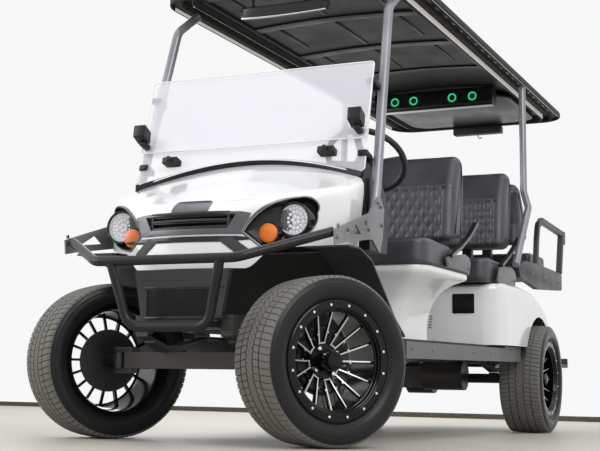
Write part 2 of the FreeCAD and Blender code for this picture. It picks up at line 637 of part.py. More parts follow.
def lamp_tool(x, station, height, radius, depth):
    return Part.makeCylinder(radius, depth, Vector(x, station, height), Vector(0, 1, 0))


def lamp_tools(side):
    """Rooms for the two round lamps of one side."""
    fit = size["lamp_fit"]
    return [lamp_tool(side * size["lamp_x"], size["lamp_station"] - 120, size["lamp_height"],
                      size["lamp_radius"] + fit, 300),
            lamp_tool(side * size["turn_x"], size["turn_station"] - 60, size["turn_height"],
                      size["turn_radius"] + fit, 220)]


# the leaf-shaped lamp recess as arcs through x, height
LEAF = (((207, 740), (268, 817), (396, 869)), ((396, 869), (421, 800), (379, 724)),
        ((379, 724), (322, 700), (265, 690)))


def leaf_column(side, spread):
    """A prism over the lamp recess, grown by a margin."""
    bends = [[Vector(side * x, -300, z) for x, z in bend] for bend in LEAF]
    edges = [Part.Arc(*bend).toShape() for bend in bends]
    edges.append(Part.makeLine(bends[-1][-1], bends[0][0]))
    wire = Part.Wire(edges)
    if spread:
        wire = wire.makeOffset2D(spread, 0)
    return Part.Face(wire).extrude(Vector(0, 420, 0))


def inner_column(inset):
    """The cowl's plan, set back from its surface."""
    return plan_outline(size["cowl_half"] - inset, size["nose_station"] + inset,
                        size["nose_radius"] - inset, size["cowl_rear"] - inset, 600, 900)


def make_cowl():
    wall = size["wall"]
    bottom = size["panel_top"] + size["seat_gap"]
    outer = cowl_form(0, size["cowl_low"]).fuse(nose_form(0, bottom))
    hollow = cowl_form(wall, size["cowl_low"] - 20).fuse(nose_form(wall, bottom - 20))
    shell = outer.cut(hollow)
    tools = [leaf_column(side, 0) for side in (-1, 1)] + lamp_tools(-1) + lamp_tools(1)
    slot_height = size["slot_high"] - size["slot_low"]
    slot = Part.makeBox(2 * size["slot_half"], 120, slot_height,
                        Vector(-size["slot_half"], size["nose_station"] - 20, size["slot_low"]))
    keep(held("cowl_shell", shell.cut(tools + [slot]).removeSplitter()), "cowl", body_place)


def make_lamp_trays():
    """Black trays behind the leaf-shaped recesses, with room for the lamps."""
    behind = size["wall"] + size["seat_gap"]
    band = inner_column(behind).cut(inner_column(size["tray_depth"]))
    room = inner_column(0).cut(inner_column(size["recess_depth"]))
    trays = []
    for side in (-1, 1):
        tray = band.common(leaf_column(side, size["tray_lap"]))
        tray = tray.cut([leaf_column(side, 0).common(room)] + lamp_tools(side))
        trays.append(held("lamp_tray", tray))
    keep(joined("tray_pair", trays), "lamp_trays", body_place)


def make_grille():
    """The black insert behind the nose slot: a frame with one bar across."""
    wall = size["wall"]
    behind = wall + size["seat_gap"]
    front = size["nose_station"] + behind
    lap = 8
    half = size["slot_half"] + lap
    low = size["slot_low"] - lap
    high = size["slot_high"] + lap
    outer = plan_outline(half, front, size["nose_radius"] - behind, front + size["slot_depth"], low,
                         high)
    back = front + size["slot_depth"] - wall
    bar = size["slot_bar"]
    middle = (low + high) / 2
    tools = []
    for bottom, top in ((low + lap, middle - bar / 2), (middle + bar / 2, high - lap)):
        tools.append(Part.makeBox(2 * (half - lap), back - front + 40, top - bottom,
                                  Vector(-half + lap, front - 40, bottom)))
    return held("grille_insert", outer.cut(tools))


def make_lamps():
    for label, key in (("headlamps", "lamp"), ("turn_lamps", "turn")):
        radius = f"{key}_radius"
        lamp = rod(label + "_left", radius, f"{key}_depth", (f"{key}_x", f"{key}_station",
                                                            f"{key}_height"), "Y")
        if key == "turn":
            ring = rod("headlamp_room", "lamp_radius + seat_gap", "lamp_depth + 60",
                       ("lamp_x", "lamp_station - 30", "lamp_height"), "Y")
            lamp = cut("turn_lamp_body", lamp, [ring])
        keep(pair(label + "_pair", lamp), label, body_place)


def make_lower_panel():
    corners = [("-panel_bottom_half", "panel_bottom"), ("panel_bottom_half", "panel_bottom"),
               ("panel_top_half", "panel_top"), ("-panel_top_half", "panel_top")]
    panel = extruded("panel_body", "XZ_Plane", corners, "panel_station", "panel_station + panel_thick",
                     rounds=(("24", (0, 1)),))
    recess = box("mesh_recess", ("-mesh_half", "mesh_half"),
                 ("panel_station - 1", "panel_station + mesh_depth"), ("mesh_low", "mesh_high"))
    insert = make_grille()
    keep(joined("grille_set", [cut("panel_cut", panel, [recess]), insert]), "grilles", body_place)


def make_brush_guard():
    """Top tube swept back to the strut brackets, with a hoop below it."""
    radius = size["guard_radius"]
    end_x = size["bracket_x"] - size["bracket_thick"] / 2 - size["seat_gap"] - radius * 0.69
    top = [Vector(-end_x, size["guard_end_station"], size["guard_end_height"]),
           Vector(-size["guard_half"], size["guard_station"], size["guard_height"]),
           Vector(size["guard_half"], size["guard_station"], size["guard_height"]),
           Vector(end_x, size["guard_end_station"], size["guard_end_height"])]
    hoop = [Vector(-size["hoop_top_half"], size["guard_station"], size["guard_height"]),
            Vector(-size["hoop_bottom_half"], size["hoop_station"], size["hoop_bottom"]),
            Vector(size["hoop_bottom_half"], size["hoop_station"], size["hoop_bottom"]),
            Vector(size["hoop_top_half"], size["guard_station"], size["guard_height"])]
    solid = tube(top, radius, size["guard_bend"]).fuse(tube(hoop, radius, size["guard_bend"]))
    for side in (-1, 1):
        x = side * (size["rail_x"] - 30)
        plate = Part.makeBox(8, size["panel_station"] + size["panel_thick"] - size["hoop_station"],
                             size["panel_bottom"] - size["hoop_bottom"] - size["seat_gap"],
                             Vector(x, size["hoop_station"], size["hoop_bottom"]))
        solid = solid.fuse(plate)
    keep(held("guard_tubes", solid), "brush_guard", body_place)


# station and height past the brush guard's end
BRACKET = ((115, 47), (-28, 5), (-22, -48), (40, -36), (302, 3), (334, 4), (410, -40), (440, 20),
           (455, 130), (424, 168), (384, 168), (301, 100))


def make_strut_brackets():
    end = "guard_end_station"
    height = "guard_end_height"
    corners = [(f"{end} + {y}", f"{height} + {z}") for y, z in BRACKET]
    windows = [[(f"{end} + {y}", f"{height} + {z}") for y, z in window]
               for window in (((256, 50), (276, 50), (276, 66), (256, 66)),
                              ((70, -5), (215, 14), (165, 42)))]
    plate = extruded("bracket_plate", "YZ_Plane", corners, "bracket_x - bracket_thick / 2",
                     "bracket_x + bracket_thick / 2", windows=windows)
    tab = box("bracket_tab", ("cowl_half + seat_gap", "bracket_x"), ("180", "240"), ("742", "762"))
    keep(pair("bracket_pair", joined("bracket_solid", [plate, tab])), "strut_brackets", body_place)


# station, height of the flare's lower face, behind the top run under the cowl
FLARE = ((183, 654), (298, 562), (430, 457), (545, 391))


def make_flares():
    """Black fender flares that follow the front wheels' arches."""
    top = "cowl_low - seat_gap"
    lower = [("-40", f"{top} - flare_thick"), ("64", f"{top} - flare_thick")]
    lower += [(str(y), str(z)) for y, z in FLARE]
    upper = [(f"{y} + flare_thick * 0.7", f"{z} + flare_thick") for y, z in reversed(FLARE)]
    upper += [("68", top), ("-40", top)]
    flare = extruded("flare", "YZ_Plane", lower + upper, "flare_inner", "flare_outer")
    room = box("flare_room", ("0", "sill_outer + 40"), ("0", "sill_front + 200"), ("0", "sill_high + 1"))
    keep(pair("flare_pair", cut("flare_cut", flare, [room])), "fender_flares", body_place)


def make_dash():
    corners = [("cowl_rear + seat_gap", "dash_low"), ("dash_rear", "dash_low"),
               ("dash_rear + 20", "dash_high - 90"), ("dash_rear - 60", "dash_high"),
               ("cowl_rear + seat_gap", "dash_high")]
    dash = extruded("dash_body", "YZ_Plane", corners, "-dash_half", "dash_half",
                    rounds=(("30", (2, 3)),))
    pockets = [box(f"dash_pocket{number}", (left, right), ("cowl_rear + 30", "dash_rear + 60"),
                   ("dash_low + 50", "dash_high - 110"))
               for number, (left, right) in enumerate((("-440", "-60"), ("60", "190"), ("400", "470")))]
    slope = math.radians(size["column_angle"])
    start = Vector(size["wheel_x"], size["wheel_station"] - size["column_length"] * math.sin(slope),
                   size["wheel_height"] - size["column_length"] * math.cos(slope))
    room = held("column_room", Part.makeCylinder(size["column_radius"] + 0.5, size["column_length"],
                start, Vector(0, math.sin(slope), math.cos(slope))))
    keep(cut("dash_cut", dash, pockets + [room]), "dashboard", body_place)


def column_axis():
    slope = math.radians(size["column_angle"])
    return Vector(0, math.sin(slope), math.cos(slope))


def make_steering():
    """Column tube in the dash, and a wheel with a rim, three spokes and a shaft in the column."""
    axis = column_axis()
    hub = Vector(size["wheel_x"], size["wheel_station"], size["wheel_height"])
    start = hub - axis * size["column_length"]
    bore = size["shaft_radius"] + size["running_fit"]
    length = size["column_length"] - 60
    column = Part.makeCylinder(size["column_radius"], length, start, axis)
    column = column.cut(Part.makeCylinder(bore, length - 60, start + axis * 60.5, axis))
    column_piece = held("column_tube", column)
    ring = Part.makeTorus(size["wheel_ring"], size["wheel_grip"], hub, axis)
    pieces = [Part.makeCylinder(size["hub_cap_radius"], 30, hub - axis * 40, axis),
              Part.makeCylinder(size["shaft_radius"], 150, hub - axis * 170, axis)]
    across = Vector(1, 0, 0)
    for turn in (0, 180, 270):
        way = Rotation(axis, turn).multVec(across)
        pieces.append(Part.makeCylinder(size["spoke_radius"], size["wheel_ring"], hub - axis * 18, way
                                        + axis * (18 / size["wheel_ring"])))
    keep(held("wheel_solid", ring.fuse(pieces)), "steering_wheel", body_place)
    return column_piece


def make_pedals(column):
    """Brake and accelerator: arms from the toe board with flat pads, beside the column tube."""
    pieces = []
    for name, left, right in (("brake", 215, 295), ("accelerator", 325, 380)):
        pad = box(name + "_pad", (str(left), str(right)), ("toe_station + 50", "toe_station + 58"),
                  ("rail_high + 60", "rail_high + 150"))
        arm = box(name + "_arm", (str((left + right) / 2 - 8), str((left + right) / 2 + 8)),
                  ("toe_station - 90", "toe_station + 50"), ("rail_high + 120", "rail_high + 136"))
        pieces.append(joined(name, [pad, arm]))
    board = held("toe_room", polygon_prism([(size["toe_station"] + 7.6, size["rail_high"] + 12.3),
                                            (size["toe_top_station"] + 12.4, size["toe_top"]),
                                            (size["toe_top_station"] - 200, size["toe_top"]),
                                            (size["toe_top_station"] - 200, size["rail_high"])], 600))
    pedals = cut("pedal_cut", joined("pedal_pair", pieces), [board])
    keep(joined("control_set", [pedals, column]), "controls", body_place)


def polygon_prism(points, half):
    """A side outline (station, height) extruded across the cart."""
    face = polygon([Vector(-half, y, z) for y, z in points])
    return face.extrude(Vector(2 * half, 0, 0))


def rounded_wire(half, front, rear, corner, height):
    """A level rectangle with round corners."""
    quarter = corner * (1 - math.sqrt(0.5))
    edges = []
    # corner centre x sign, y of the corner's outer line, sign of y
    a = Vector(-half + corner, front, height)
    b = Vector(half - corner, front, height)
    c = Vector(half, front + corner, height)
    d = Vector(half, rear - corner, height)
    e = Vector(half - corner, rear, height)
    f = Vector(-half + corner, rear, height)
    g = Vector(-half, rear - corner, height)
    k = Vector(-half, front + corner, height)
    edges.append(Part.makeLine(a, b))
    edges.append(Part.Arc(b, Vector(half - quarter, front + quarter, height), c).toShape())
    edges.append(Part.makeLine(c, d))
    edges.append(Part.Arc(d, Vector(half - quarter, rear - quarter, height), e).toShape())
    edges.append(Part.makeLine(e, f))
    edges.append(Part.Arc(f, Vector(-half + quarter, rear - quarter, height), g).toShape())
    edges.append(Part.makeLine(g, k))
    edges.append(Part.Arc(k, Vector(-half + quarter, front + quarter, height), a).toShape())
    return Part.Wire(edges)


# half width, front and rear of the seat base past its lower sizes, and share of its height
BASE = ((0, 0, 0, 0.0), (3, -2, 4, 0.30), (26, -8, 8, 0.54), (58, -20, 26, 0.70), (90, -32, 78, 0.81),
        (112, -42, 158, 0.88), (122, -48, 206, 0.93), (122, -48, 206, 1.0))


def base_form(inset, low, top):
    """The seat base as a stack of rounded sections that flare towards the seat."""
    wires = []
    for wide, front, rear, share in BASE:
        height = low + (top - low) * share
        if inset and not share:
            height -= 4 * inset
        wires.append(rounded_wire(size["base_half"] + wide - inset, size["base_front"] + front + inset,
                                  size["base_rear"] + rear - inset, size["base_corner"] - inset, height))
    return Part.makeLoft(wires, True, True)


def make_seat_base():
    """White shell under the front seat: it sweeps out and back under the cushion, open below."""
    wall = size["wall"]
    low = size["rail_high"] + size["floor_thick"] + 2 * size["seat_gap"]
    top = size["base_top"]
    hollow = base_form(wall, low, top)
    # raised by the wall, so the flare's underside is as thick as the sides
    hollow.translate(Vector(0, 0, wall))
    lid = Part.makeBox(1400, 1400, 40, Vector(-700, size["base_front"] - 300, top - wall))
    access = Part.makeBox(2 * size["pack_half"] + 40, size["pack_rear"] - size["pack_front"] + 40, 60,
                          Vector(-size["pack_half"] - 20, size["pack_front"] - 20, top - 50))
    shell = base_form(0, low, top).cut([hollow.cut(lid), access])
    keep(held("seat_base_shell", shell), "seat_base", body_place)


# station past the rear axle and height under the pod's top
POD = ((-402, 0), (-102, 22), (58, 66), (198, 114), (238, 254))


def make_rear_body():
    """White rear shell with wheel arches and rounded front corners."""
    wall = size["wall"]
    low = size["rail_high"] + size["floor_thick"] + 2 * size["seat_gap"]
    top = size["pod_top"]
    half = size["pod_half"]
    front = size["pod_front"]
    crest = [(front - 10, 18), (front + 25, 0)] + [(size["wheelbase"] + y, z) for y, z in POD]
    rear = crest[-1][0]
    outer = polygon_prism([(front, low)] + [(y, top - z) for y, z in crest] + [(rear, low)], half)
    plan = Part.Face(rounded_wire(half, front - 12, rear + 120, size["pod_corner"],
                                  low - 10)).extrude(Vector(0, 0, 500))
    inset = [(min(max(y, front - 10 + wall), rear - wall), top - z - wall) for y, z in crest]
    inner = polygon_prism([(front + wall, low - 20)] + inset + [(rear - wall, low - 20)], half - wall)
    plan_in = Part.Face(rounded_wire(half - wall, front - 12 + wall, rear + 120 - wall,
                                     size["pod_corner"] - wall, low - 30)).extrude(Vector(0, 0, 500))
    arch_z = size["tyre_radius"] - rear_drop
    arch = Part.makeCylinder(size["arch_radius"], 2 * half + 20, Vector(-half - 10, size["wheelbase"],
                                                                        arch_z), Vector(1, 0, 0))
    shell = outer.common(plan).cut([inner.common(plan_in), arch])
    keep(held("rear_shell", shell.removeSplitter()), "rear_body", body_place)


# side outlines of the backrests: station and height past the cushion's front and underside, and
# for the rear one past the rear axle and the deck
BACK = ((400, 140), (430, 382), (507, 535), (552, 554), (596, 520), (606, 388), (578, 187),
        (550, 140))
REAR_BACK = ((-112, 124), (-92, 240), (-112, 330), (-150, 412), (-100, 462), (-42, 450), (50, 342),
             (122, 240), (108, 147), (-22, 124))


def make_seats():
    # row name, shift back, what the cushion rests on, cut off its depth, and the backrest's
    # extra height and lead
    for row, back, seat, trim, rise, lead in (
            ("front", "0", "base_top", "0", "0", "0"),
            ("middle", "row_pitch", "pod_top", "row_trim", "row_rise", "row_lead")):
        front = f"(cushion_front + {back})"
        low = f"({seat} + seat_gap)"
        corners = [("-cushion_half", front), ("cushion_half", front),
                   ("cushion_half", f"{front} + cushion_depth - {trim}"),
                   ("-cushion_half", f"{front} + cushion_depth - {trim}")]
        cushion = extruded(f"{row}_cushion_pad", "XY_Plane", corners, low, f"{low} + cushion_thick",
                           rounds=(("cushion_corner", (0, 1)), ("40", (2, 3))))
        keep(cushion, f"{row}_cushion", body_place)
        outline = [(f"{front} - {lead} + {y}", f"{low} + {rise} + {z}") for y, z in BACK]
        rest = extruded(f"{row}_back_pad", "YZ_Plane", outline, "-back_half", "back_half",
                        rounds=(("45", (2, 4)),))
        keep(rest, f"{row}_back", body_place)
    front = "wheelbase + rear_cushion_front"
    rear = [("-rear_half", front), ("rear_half", front), ("rear_half", f"{front} + rear_cushion_depth"),
            ("-rear_half", f"{front} + rear_cushion_depth")]
    low = "(deck_low + deck_thick + seat_gap)"
    cushion = extruded("rear_cushion_pad", "XY_Plane", rear, low, f"{low} + rear_cushion_thick",
                       rounds=(("80", (2, 3)),))
    keep(cushion, "rear_cushion", body_place)
    outline = [(f"wheelbase + {y}", f"deck_low + deck_thick + {z}") for y, z in REAR_BACK]
    rest = extruded("rear_back_pad", "YZ_Plane", outline,
                    "-rear_half", "rear_half", rounds=(("45", (4, 7)),))
    keep(rest, "rear_back", body_place)
    # posts under the backrests: name, station, low, high
    posts = []
    for name, station, low, high in (
            ("front_post", "cushion_front + 500", "base_top + seat_gap", "base_top + 140"),
            ("middle_post", "cushion_front + row_pitch + 508 - row_lead", "pod_top + seat_gap",
             "pod_top + row_rise + 140"),
            ("rear_post", "wheelbase - 42", "deck_low + deck_thick + seat_gap",
             "deck_low + deck_thick + 123.7")):
        post = box(name, ("280", "330"), (station, f"{station} + 40"), (low, high))
        posts += [post, mirrored(post)]
    keep(joined("post_set", posts), "seat_posts", body_place)


def make_restraints():
    """Hip restraint plates beside the seats, each with a curved arm."""
    thick = size["restraint_thick"]
    gap = size["seat_gap"]
    shapes = []
    base = size["base_top"] + gap
    pod = size["pod_top"] + gap
    outer = size["rear_strut_foot_x"] - size["strut_radius"] - gap - thick
    front = size["cushion_front"]
    axle = size["wheelbase"]
    # inner face, plate outline (station, height), the arm's elbow and top
    rows = ((size["restraint_x"], ((front + 284, base + 70), (front + 350, base), (front + 550, base),
                                   (front + 620, base + 100), (front + 520, base + 125)),
             (front + 467, base + 110), (front + 730, base + 270)),
            (outer, ((axle - 612, pod + 60), (axle - 572, pod), (axle - 422, pod),
                     (axle - 359, pod + 110), (axle - 522, pod + 135)),
             (axle - 572, pod + 100), (axle - 282, pod + 285)))
    for x, plate, elbow, top in rows:
        face = polygon([Vector(x, y, z) for y, z in plate]).extrude(Vector(thick, 0, 0))
        middle = size["arm_x"]
        arm = tube([Vector(middle, elbow[0] + 20, elbow[1] - 10),
                    Vector(middle, elbow[0] + 110, elbow[1] + 20), Vector(middle, top[0], top[1])],
                   size["arm_radius"], 90)
        shapes.append(face.fuse(arm))
    plates = [held(f"restraint{number}", shape) for number, shape in enumerate(shapes)]
    keep(joined("restraint_pairs", plates + [mirrored(plate) for plate in plates]), "hip_restraints",
         body_place)


def make_roof_struts():
    """Front struts lean back beside the windshield; rear struts stand on the seat frame."""
    radius = size["strut_radius"]
    roof = size["roof_low"]
    outer = size["bracket_x"] - size["bracket_thick"] / 2 - radius - size["seat_gap"]
    front = tube([Vector(outer, 279, 800), Vector(outer, 325, 950), Vector(487, 558, 1716),
                  Vector(482, 715, roof - radius - size["seat_gap"])],
                 radius, 90)
    top_x = size["rear_strut_x"]
    foot_x = size["rear_strut_foot_x"]
    axle = size["wheelbase"]
    seat = size["pod_top"]
    rear_top = Vector(top_x, axle - 97, roof - size["seat_gap"] - 0.6)
    rear = tube([Vector(foot_x, axle - 472, seat + 112), Vector(foot_x, axle - 176, seat + 450),
                 Vector(top_x + 8, axle - 122, seat + 550), rear_top], radius, 50)
    struts = [held("front_strut", front), held("rear_strut", rear)]
    keep(joined("strut_set", struts + [mirrored(strut) for strut in struts]), "roof_struts", body_place)
    return front


def roof_slab(half, front, rear, low, rim, crown, corner):
    """A low arch across the cart, cut to a rectangle with round corners."""
    drop = crown - rim
    bend = (half ** 2 + drop ** 2) / (2 * drop)
    wide = half + 30
    edge = low + crown - bend + math.sqrt(bend ** 2 - wide ** 2)
    left = Vector(-wide, front - 30, low)
    right = Vector(wide, front - 30, low)
    left_top = Vector(-wide, front - 30, edge)
    right_top = Vector(wide, front - 30, edge)
    arch = Part.Arc(left_top, Vector(0, front - 30, low + crown), right_top).toShape()
    wire = Part.Wire([Part.makeLine(right, left), Part.makeLine(left, left_top), arch,
                      Part.makeLine(right_top, right)])
    slab = Part.Face(wire).extrude(Vector(0, rear - front + 60, 0))
    plan = Part.Face(rounded_wire(half, front, rear, corner, low - 5)).extrude(Vector(0, 0, 200))
    return slab.common(plan)


# cross bars that the mirror, struts and sound bar hang from: station, depth
ROOF_BARS = ((585, 40), (670, 60), (2600, 120))


def make_roof():
    skin = size["roof_skin"]
    half = size["roof_half"]
    low = size["roof_low"]
    outer = roof_slab(half, size["roof_front"], axle_station("roof_rear"), low, size["roof_rim"],
                      size["roof_crown"], size["roof_corner"])
    inner = roof_slab(half - 22, size["roof_front"] + 22, axle_station("roof_rear") - 22, low - 1,
                      size["roof_rim"] - skin + 1, size["roof_crown"] - skin + 1,
                      size["roof_corner"] - 22)
    count = int(size["rib_count"])
    ribs = []
    for k in range(count):
        x = (k - (count - 1) / 2) * (2 * (half - 80) / (count - 1)) - size["rib_width"] / 2
        length = axle_station("roof_rear") - size["roof_front"] - 120
        ribs.append(Part.makeBox(size["rib_width"], length, 80, Vector(x, size["roof_front"] + 60, low)))
    lower = roof_slab(half - 21, size["roof_front"] + 21, axle_station("roof_rear") - 21, low - 2,
                      size["roof_rim"] - skin - size["rib_depth"] + 2,
                      size["roof_crown"] - skin - size["rib_depth"] + 2, size["roof_corner"] - 21)
    cross = [Part.makeBox(2 * half, depth, 90, Vector(-half, station, low - 5))
             for station, depth in ROOF_BARS]
    # the hollow underneath, without the ribs and the cross bars
    hollow = inner.cut(cross).cut([rib.cut(lower) for rib in ribs])
    keep(held("roof_shell", outer.cut(hollow)), "roof", body_place)


def sloped(points, thick, station, height, angle):
    """A flat sheet drawn as (x, up the slope), leaned back from a foot line."""
    face = polygon([Vector(x, 0, up) for x, up in points])
    sheet_solid = face.extrude(Vector(0, thick, 0))
    sheet_solid.Placement = Placement(Vector(0, station, height), Rotation(Vector(1, 0, 0), -angle))
    return sheet_solid


def make_windshield(strut):
    """Lower sheet fixed to the struts, upper sheet folded down in front of it."""
    run = size["fold_station"] - size["glass_low_station"]
    rise = size["fold_height"] - size["glass_low"]
    angle = math.degrees(math.atan2(run, rise))
    length = math.hypot(run, rise)
    half = size["glass_half"]
    hood = cowl_form(0, size["cowl_low"])
    hood.translate(Vector(0, 0, size["seat_gap"]))
    lower = sloped([(-half + 12, length), (half - 12, length), (half, 0), (-half, 0)],
                   size["glass_thick"], size["glass_low_station"], size["glass_low"], angle).cut(hood)
    keep(held("lower_sheet", lower), "windshield_lower", body_place)
    gap = size["flap_gap"] + size["glass_thick"]
    away = Vector(0, -math.cos(math.radians(angle)), math.sin(math.radians(angle))) * gap
    foot = length * (1 - size["flap_share"])
    flap = [(-half + 2, foot), (half - 2, foot),
            (half - 2, length), (-half + 2, length)]
    upper = sloped(flap, size["glass_thick"], size["glass_low_station"] + away.y,
                   size["glass_low"] + away.z, angle)
    keep(held("upper_sheet", upper), "windshield_upper", body_place)
    clips = []
    # x, distance up the slope
    for x, up in ((-470, length - 12), (470, length - 12), (-300, foot), (300, foot)):
        clip = Part.makeBox(44, gap + 14, 26, Vector(x - 22, -gap - 7, up - 13))
        room = Part.makeBox(60, size["glass_thick"] + 0.6, 60, Vector(x - 30, -0.3, up - 30))
        front = Part.makeBox(60, size["glass_thick"] + 0.6, 60, Vector(x - 30, -gap - 0.3, up - 30))
        clip = clip.cut([room, front])
        clip.Placement = Placement(Vector(0, size["glass_low_station"], size["glass_low"]),
                                   Rotation(Vector(1, 0, 0), -angle))
        clips.append(clip)
    for height in (size["glass_low"] + 90, size["fold_height"] - 72):
        station = size["glass_low_station"] + (height - size["glass_low"]) * run / rise
        block = Part.makeBox(44, 90, 26, Vector(472, station + size["glass_thick"] + 0.6, height))
        block = block.cut([strut, lower]).Solids[0]
        clips += [block, block.mirror(Vector(), Vector(1, 0, 0))]
    keep(held("clip_set", Part.makeCompound(clips)), "windshield_clips", body_place)


def make_roof_fittings():
    top = "(roof_low - seat_gap)"
    mirror = box("mirror_glass", ("-mirror_half", "mirror_half"),
                 ("mirror_station", "mirror_station + mirror_depth"), ("mirror_low", "mirror_high"))
    stem = box("mirror_stem", ("-40", "40"), ("mirror_station + 8", "mirror_station + 20"),
               ("mirror_high - 4", top))
    keep(joined("mirror_solid", [mirror, stem]), "mirror", body_place)
    bar = box("bar_body", ("-bar_half", "bar_half"),
              ("wheelbase + bar_station - bar_depth / 2", "wheelbase + bar_station + bar_depth / 2"),
              ("bar_low", top))
    tail = box("tail_box", ("-box_half", "box_half"),
               ("wheelbase + box_station", "wheelbase + box_station + box_depth"),
               (f"{top} - box_height", top))
    keep(joined("fitting_solids", [bar, tail]), "roof_fittings", body_place)


def make_arm_frames():
    """Side frames of the rear seat: post, top arm, rear post, base band and gusset."""
    bar = size["arm_bar"]
    front = axle_station("arm_front")
    rear = axle_station("arm_rear")
    top = size["arm_top"]
    low = size["arm_low"]
    band = size["arm_band"]
    outline = [(front - 512, band - 50), (front - 470, band - 105), (front - 60, low),
               (rear - 130, low + 33), (rear - 126, band - 7), (rear - 54, top - 103),
               (rear - 34, top - 103), (rear, top - 87), (rear, top - 20), (front + 96, top),
               (front + 30, top - 8), (front - 8, top - 44), (front - 60, band), (front - 360, band - 8)]
    hole = [(front - 60 + bar, band), (front - 8 + bar, top - bar - 30), (front + 70, top - bar),
            (rear - 100, top - bar - 14), (rear - 126 - bar, band)]
    face = polygon([Vector(size["arm_inner"], y, z) for y, z in outline])
    frame = face.extrude(Vector(size["arm_outer"] - size["arm_inner"], 0, 0))
    hole_face = polygon([Vector(size["arm_inner"] - 5, y, z) for y, z in hole])
    frame = frame.cut(hole_face.extrude(Vector(size["arm_outer"] - size["arm_inner"] + 10, 0, 0)))
    side = held("arm_frame", frame)
    keep(joined("arm_frame_pair", [side, mirrored(side)]), "arm_frames", body_place)


def make_rear_platforms():
    """The step for the rear riders' feet under the rails, and the deck under their seat."""
    rear = "wheelbase + step_rear"
    plate = box("step_plate", ("-step_half", "step_half"), ("wheelbase + step_front", rear),
                ("step_low", "step_low + step_thick"))
    lip = box("step_lip_piece", ("-step_half", "step_half"), (f"{rear} - 12", rear),
              ("step_low", "step_low + step_lip"))
    end = "wheelbase + rail_end"
    hanger = box("step_hanger", ("rail_x - rail_width / 2", "rail_x + rail_width / 2"),
                 (f"{end} - 200", f"{end} - 150"), ("step_low + step_thick - 2", "rail_low - seat_gap"))
    step = joined("step_solid", [plate, lip, hanger, mirrored(hanger)])
    deck = box("deck_pan", ("-(arm_inner - seat_gap)", "arm_inner - seat_gap"),
               ("wheelbase + deck_front", "wheelbase + deck_rear"), ("deck_low", "deck_low + deck_thick"))
    keep(joined("platform_set", [step, deck]), "rear_platforms", body_place)


make_frame()
make_front_axle()
make_rear_axle()
make_springs()
make_battery_pack()
make_floor()
make_sills()
make_cowl()
make_lamp_trays()
make_lamps()
make_lower_panel()
make_brush_guard()
make_strut_brackets()
make_flares()
make_dash()
make_pedals(make_steering())
make_seat_base()
make_rear_body()
make_seats()
make_restraints()
make_windshield(make_roof_struts())
make_roof()
make_roof_fittings()
make_arm_frames()
make_rear_platforms()
make_wheels()

doc.recompute()
for item in doc.Objects:
    if "Invalid" in item.State or "Error" in item.State:
        raise RuntimeError(f"{item.Label} could not be built: {item.State}")
os.makedirs("parts", exist_ok=True)
for piece in nodes:
    if piece.Shape.isNull() or not piece.Shape.isValid():
        raise RuntimeError(f"{piece.Label} has no valid shape")
    piece.Shape.exportStep(os.path.join("parts", piece.Label + ".step"))
print(f"{len(nodes)} sub-parts written")
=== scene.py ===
"""Looks of a six-seat lifted golf cart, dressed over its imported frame.

Metres, in the frame's own axes: +Z up, the cart faces -Y, +X is its left side. The sprung body is
drawn level, in millimetres (x, station behind the front axle, height), and turned onto its rake.
"""
import json
import math
import bmesh
import bpy
from mathutils import Matrix, Vector, noise


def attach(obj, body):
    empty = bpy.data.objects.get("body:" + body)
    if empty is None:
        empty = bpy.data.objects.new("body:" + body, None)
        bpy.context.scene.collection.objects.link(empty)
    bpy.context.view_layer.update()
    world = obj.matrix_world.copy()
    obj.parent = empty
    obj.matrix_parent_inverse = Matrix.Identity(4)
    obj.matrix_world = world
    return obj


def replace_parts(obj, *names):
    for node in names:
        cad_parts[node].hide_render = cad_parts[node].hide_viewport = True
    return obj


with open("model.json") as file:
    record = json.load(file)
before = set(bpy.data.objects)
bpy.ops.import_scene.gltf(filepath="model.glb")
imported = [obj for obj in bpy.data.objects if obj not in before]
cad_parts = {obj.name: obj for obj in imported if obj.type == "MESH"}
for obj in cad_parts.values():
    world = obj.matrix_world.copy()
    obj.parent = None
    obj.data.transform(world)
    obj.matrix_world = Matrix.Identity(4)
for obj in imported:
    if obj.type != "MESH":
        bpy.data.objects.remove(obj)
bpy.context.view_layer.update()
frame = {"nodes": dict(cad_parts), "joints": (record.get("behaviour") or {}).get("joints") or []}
NODES = frame["nodes"]
JOINTS = {joint["name"]: joint for joint in frame["joints"]}
MM = 0.001

# the photograph's camera, fitted to the wheels and the roof
PHOTO_WIDTH = 600
FOCAL_PIXELS = 1180.6
SENSOR = 36.0
CAMERA_PLACE = Vector((2.0638, -5.4370, 0.1739))
AZIMUTH, PITCH, ROLL = (math.radians(angle) for angle in (24.3, 8.2, 1.2))

# the sprung body's rake about the front axle
RAKE = math.radians(1.5)
AXLE = Vector(JOINTS["steer_left"]["pos_m"])
TYRE_RADIUS = AXLE.z
LEVEL = (Matrix.Translation((0, AXLE.y, TYRE_RADIUS)) @ Matrix.Rotation(RAKE, 4, "X")
         @ Matrix.Translation((0, 0, -TYRE_RADIUS)) @ Matrix.Scale(MM, 4))


def level(x, station, height):
    """A point of the level body, in millimetres, as a place in the frame."""
    return LEVEL @ Vector((x, station, height))


# Materials

def node_tree(name):
    """A new material with its tree and its main shader."""
    material = bpy.data.materials.new(name)
    material.use_nodes = True
    tree = material.node_tree
    shader = tree.nodes["Principled BSDF"]
    return material, tree, shader


def textured(tree, kind, scale, **settings):
    """A texture node on object coordinates, with its Scale set."""
    coordinates = tree.nodes.get("Texture Coordinate") or tree.nodes.new("ShaderNodeTexCoord")
    texture = tree.nodes.new(kind)
    for key, value in settings.items():
        if key in texture.inputs:
            texture.inputs[key].default_value = value
        else:
            setattr(texture, key, value)
    texture.inputs["Scale"].default_value = scale
    tree.links.new(coordinates.outputs["Object"], texture.inputs["Vector"])
    return texture


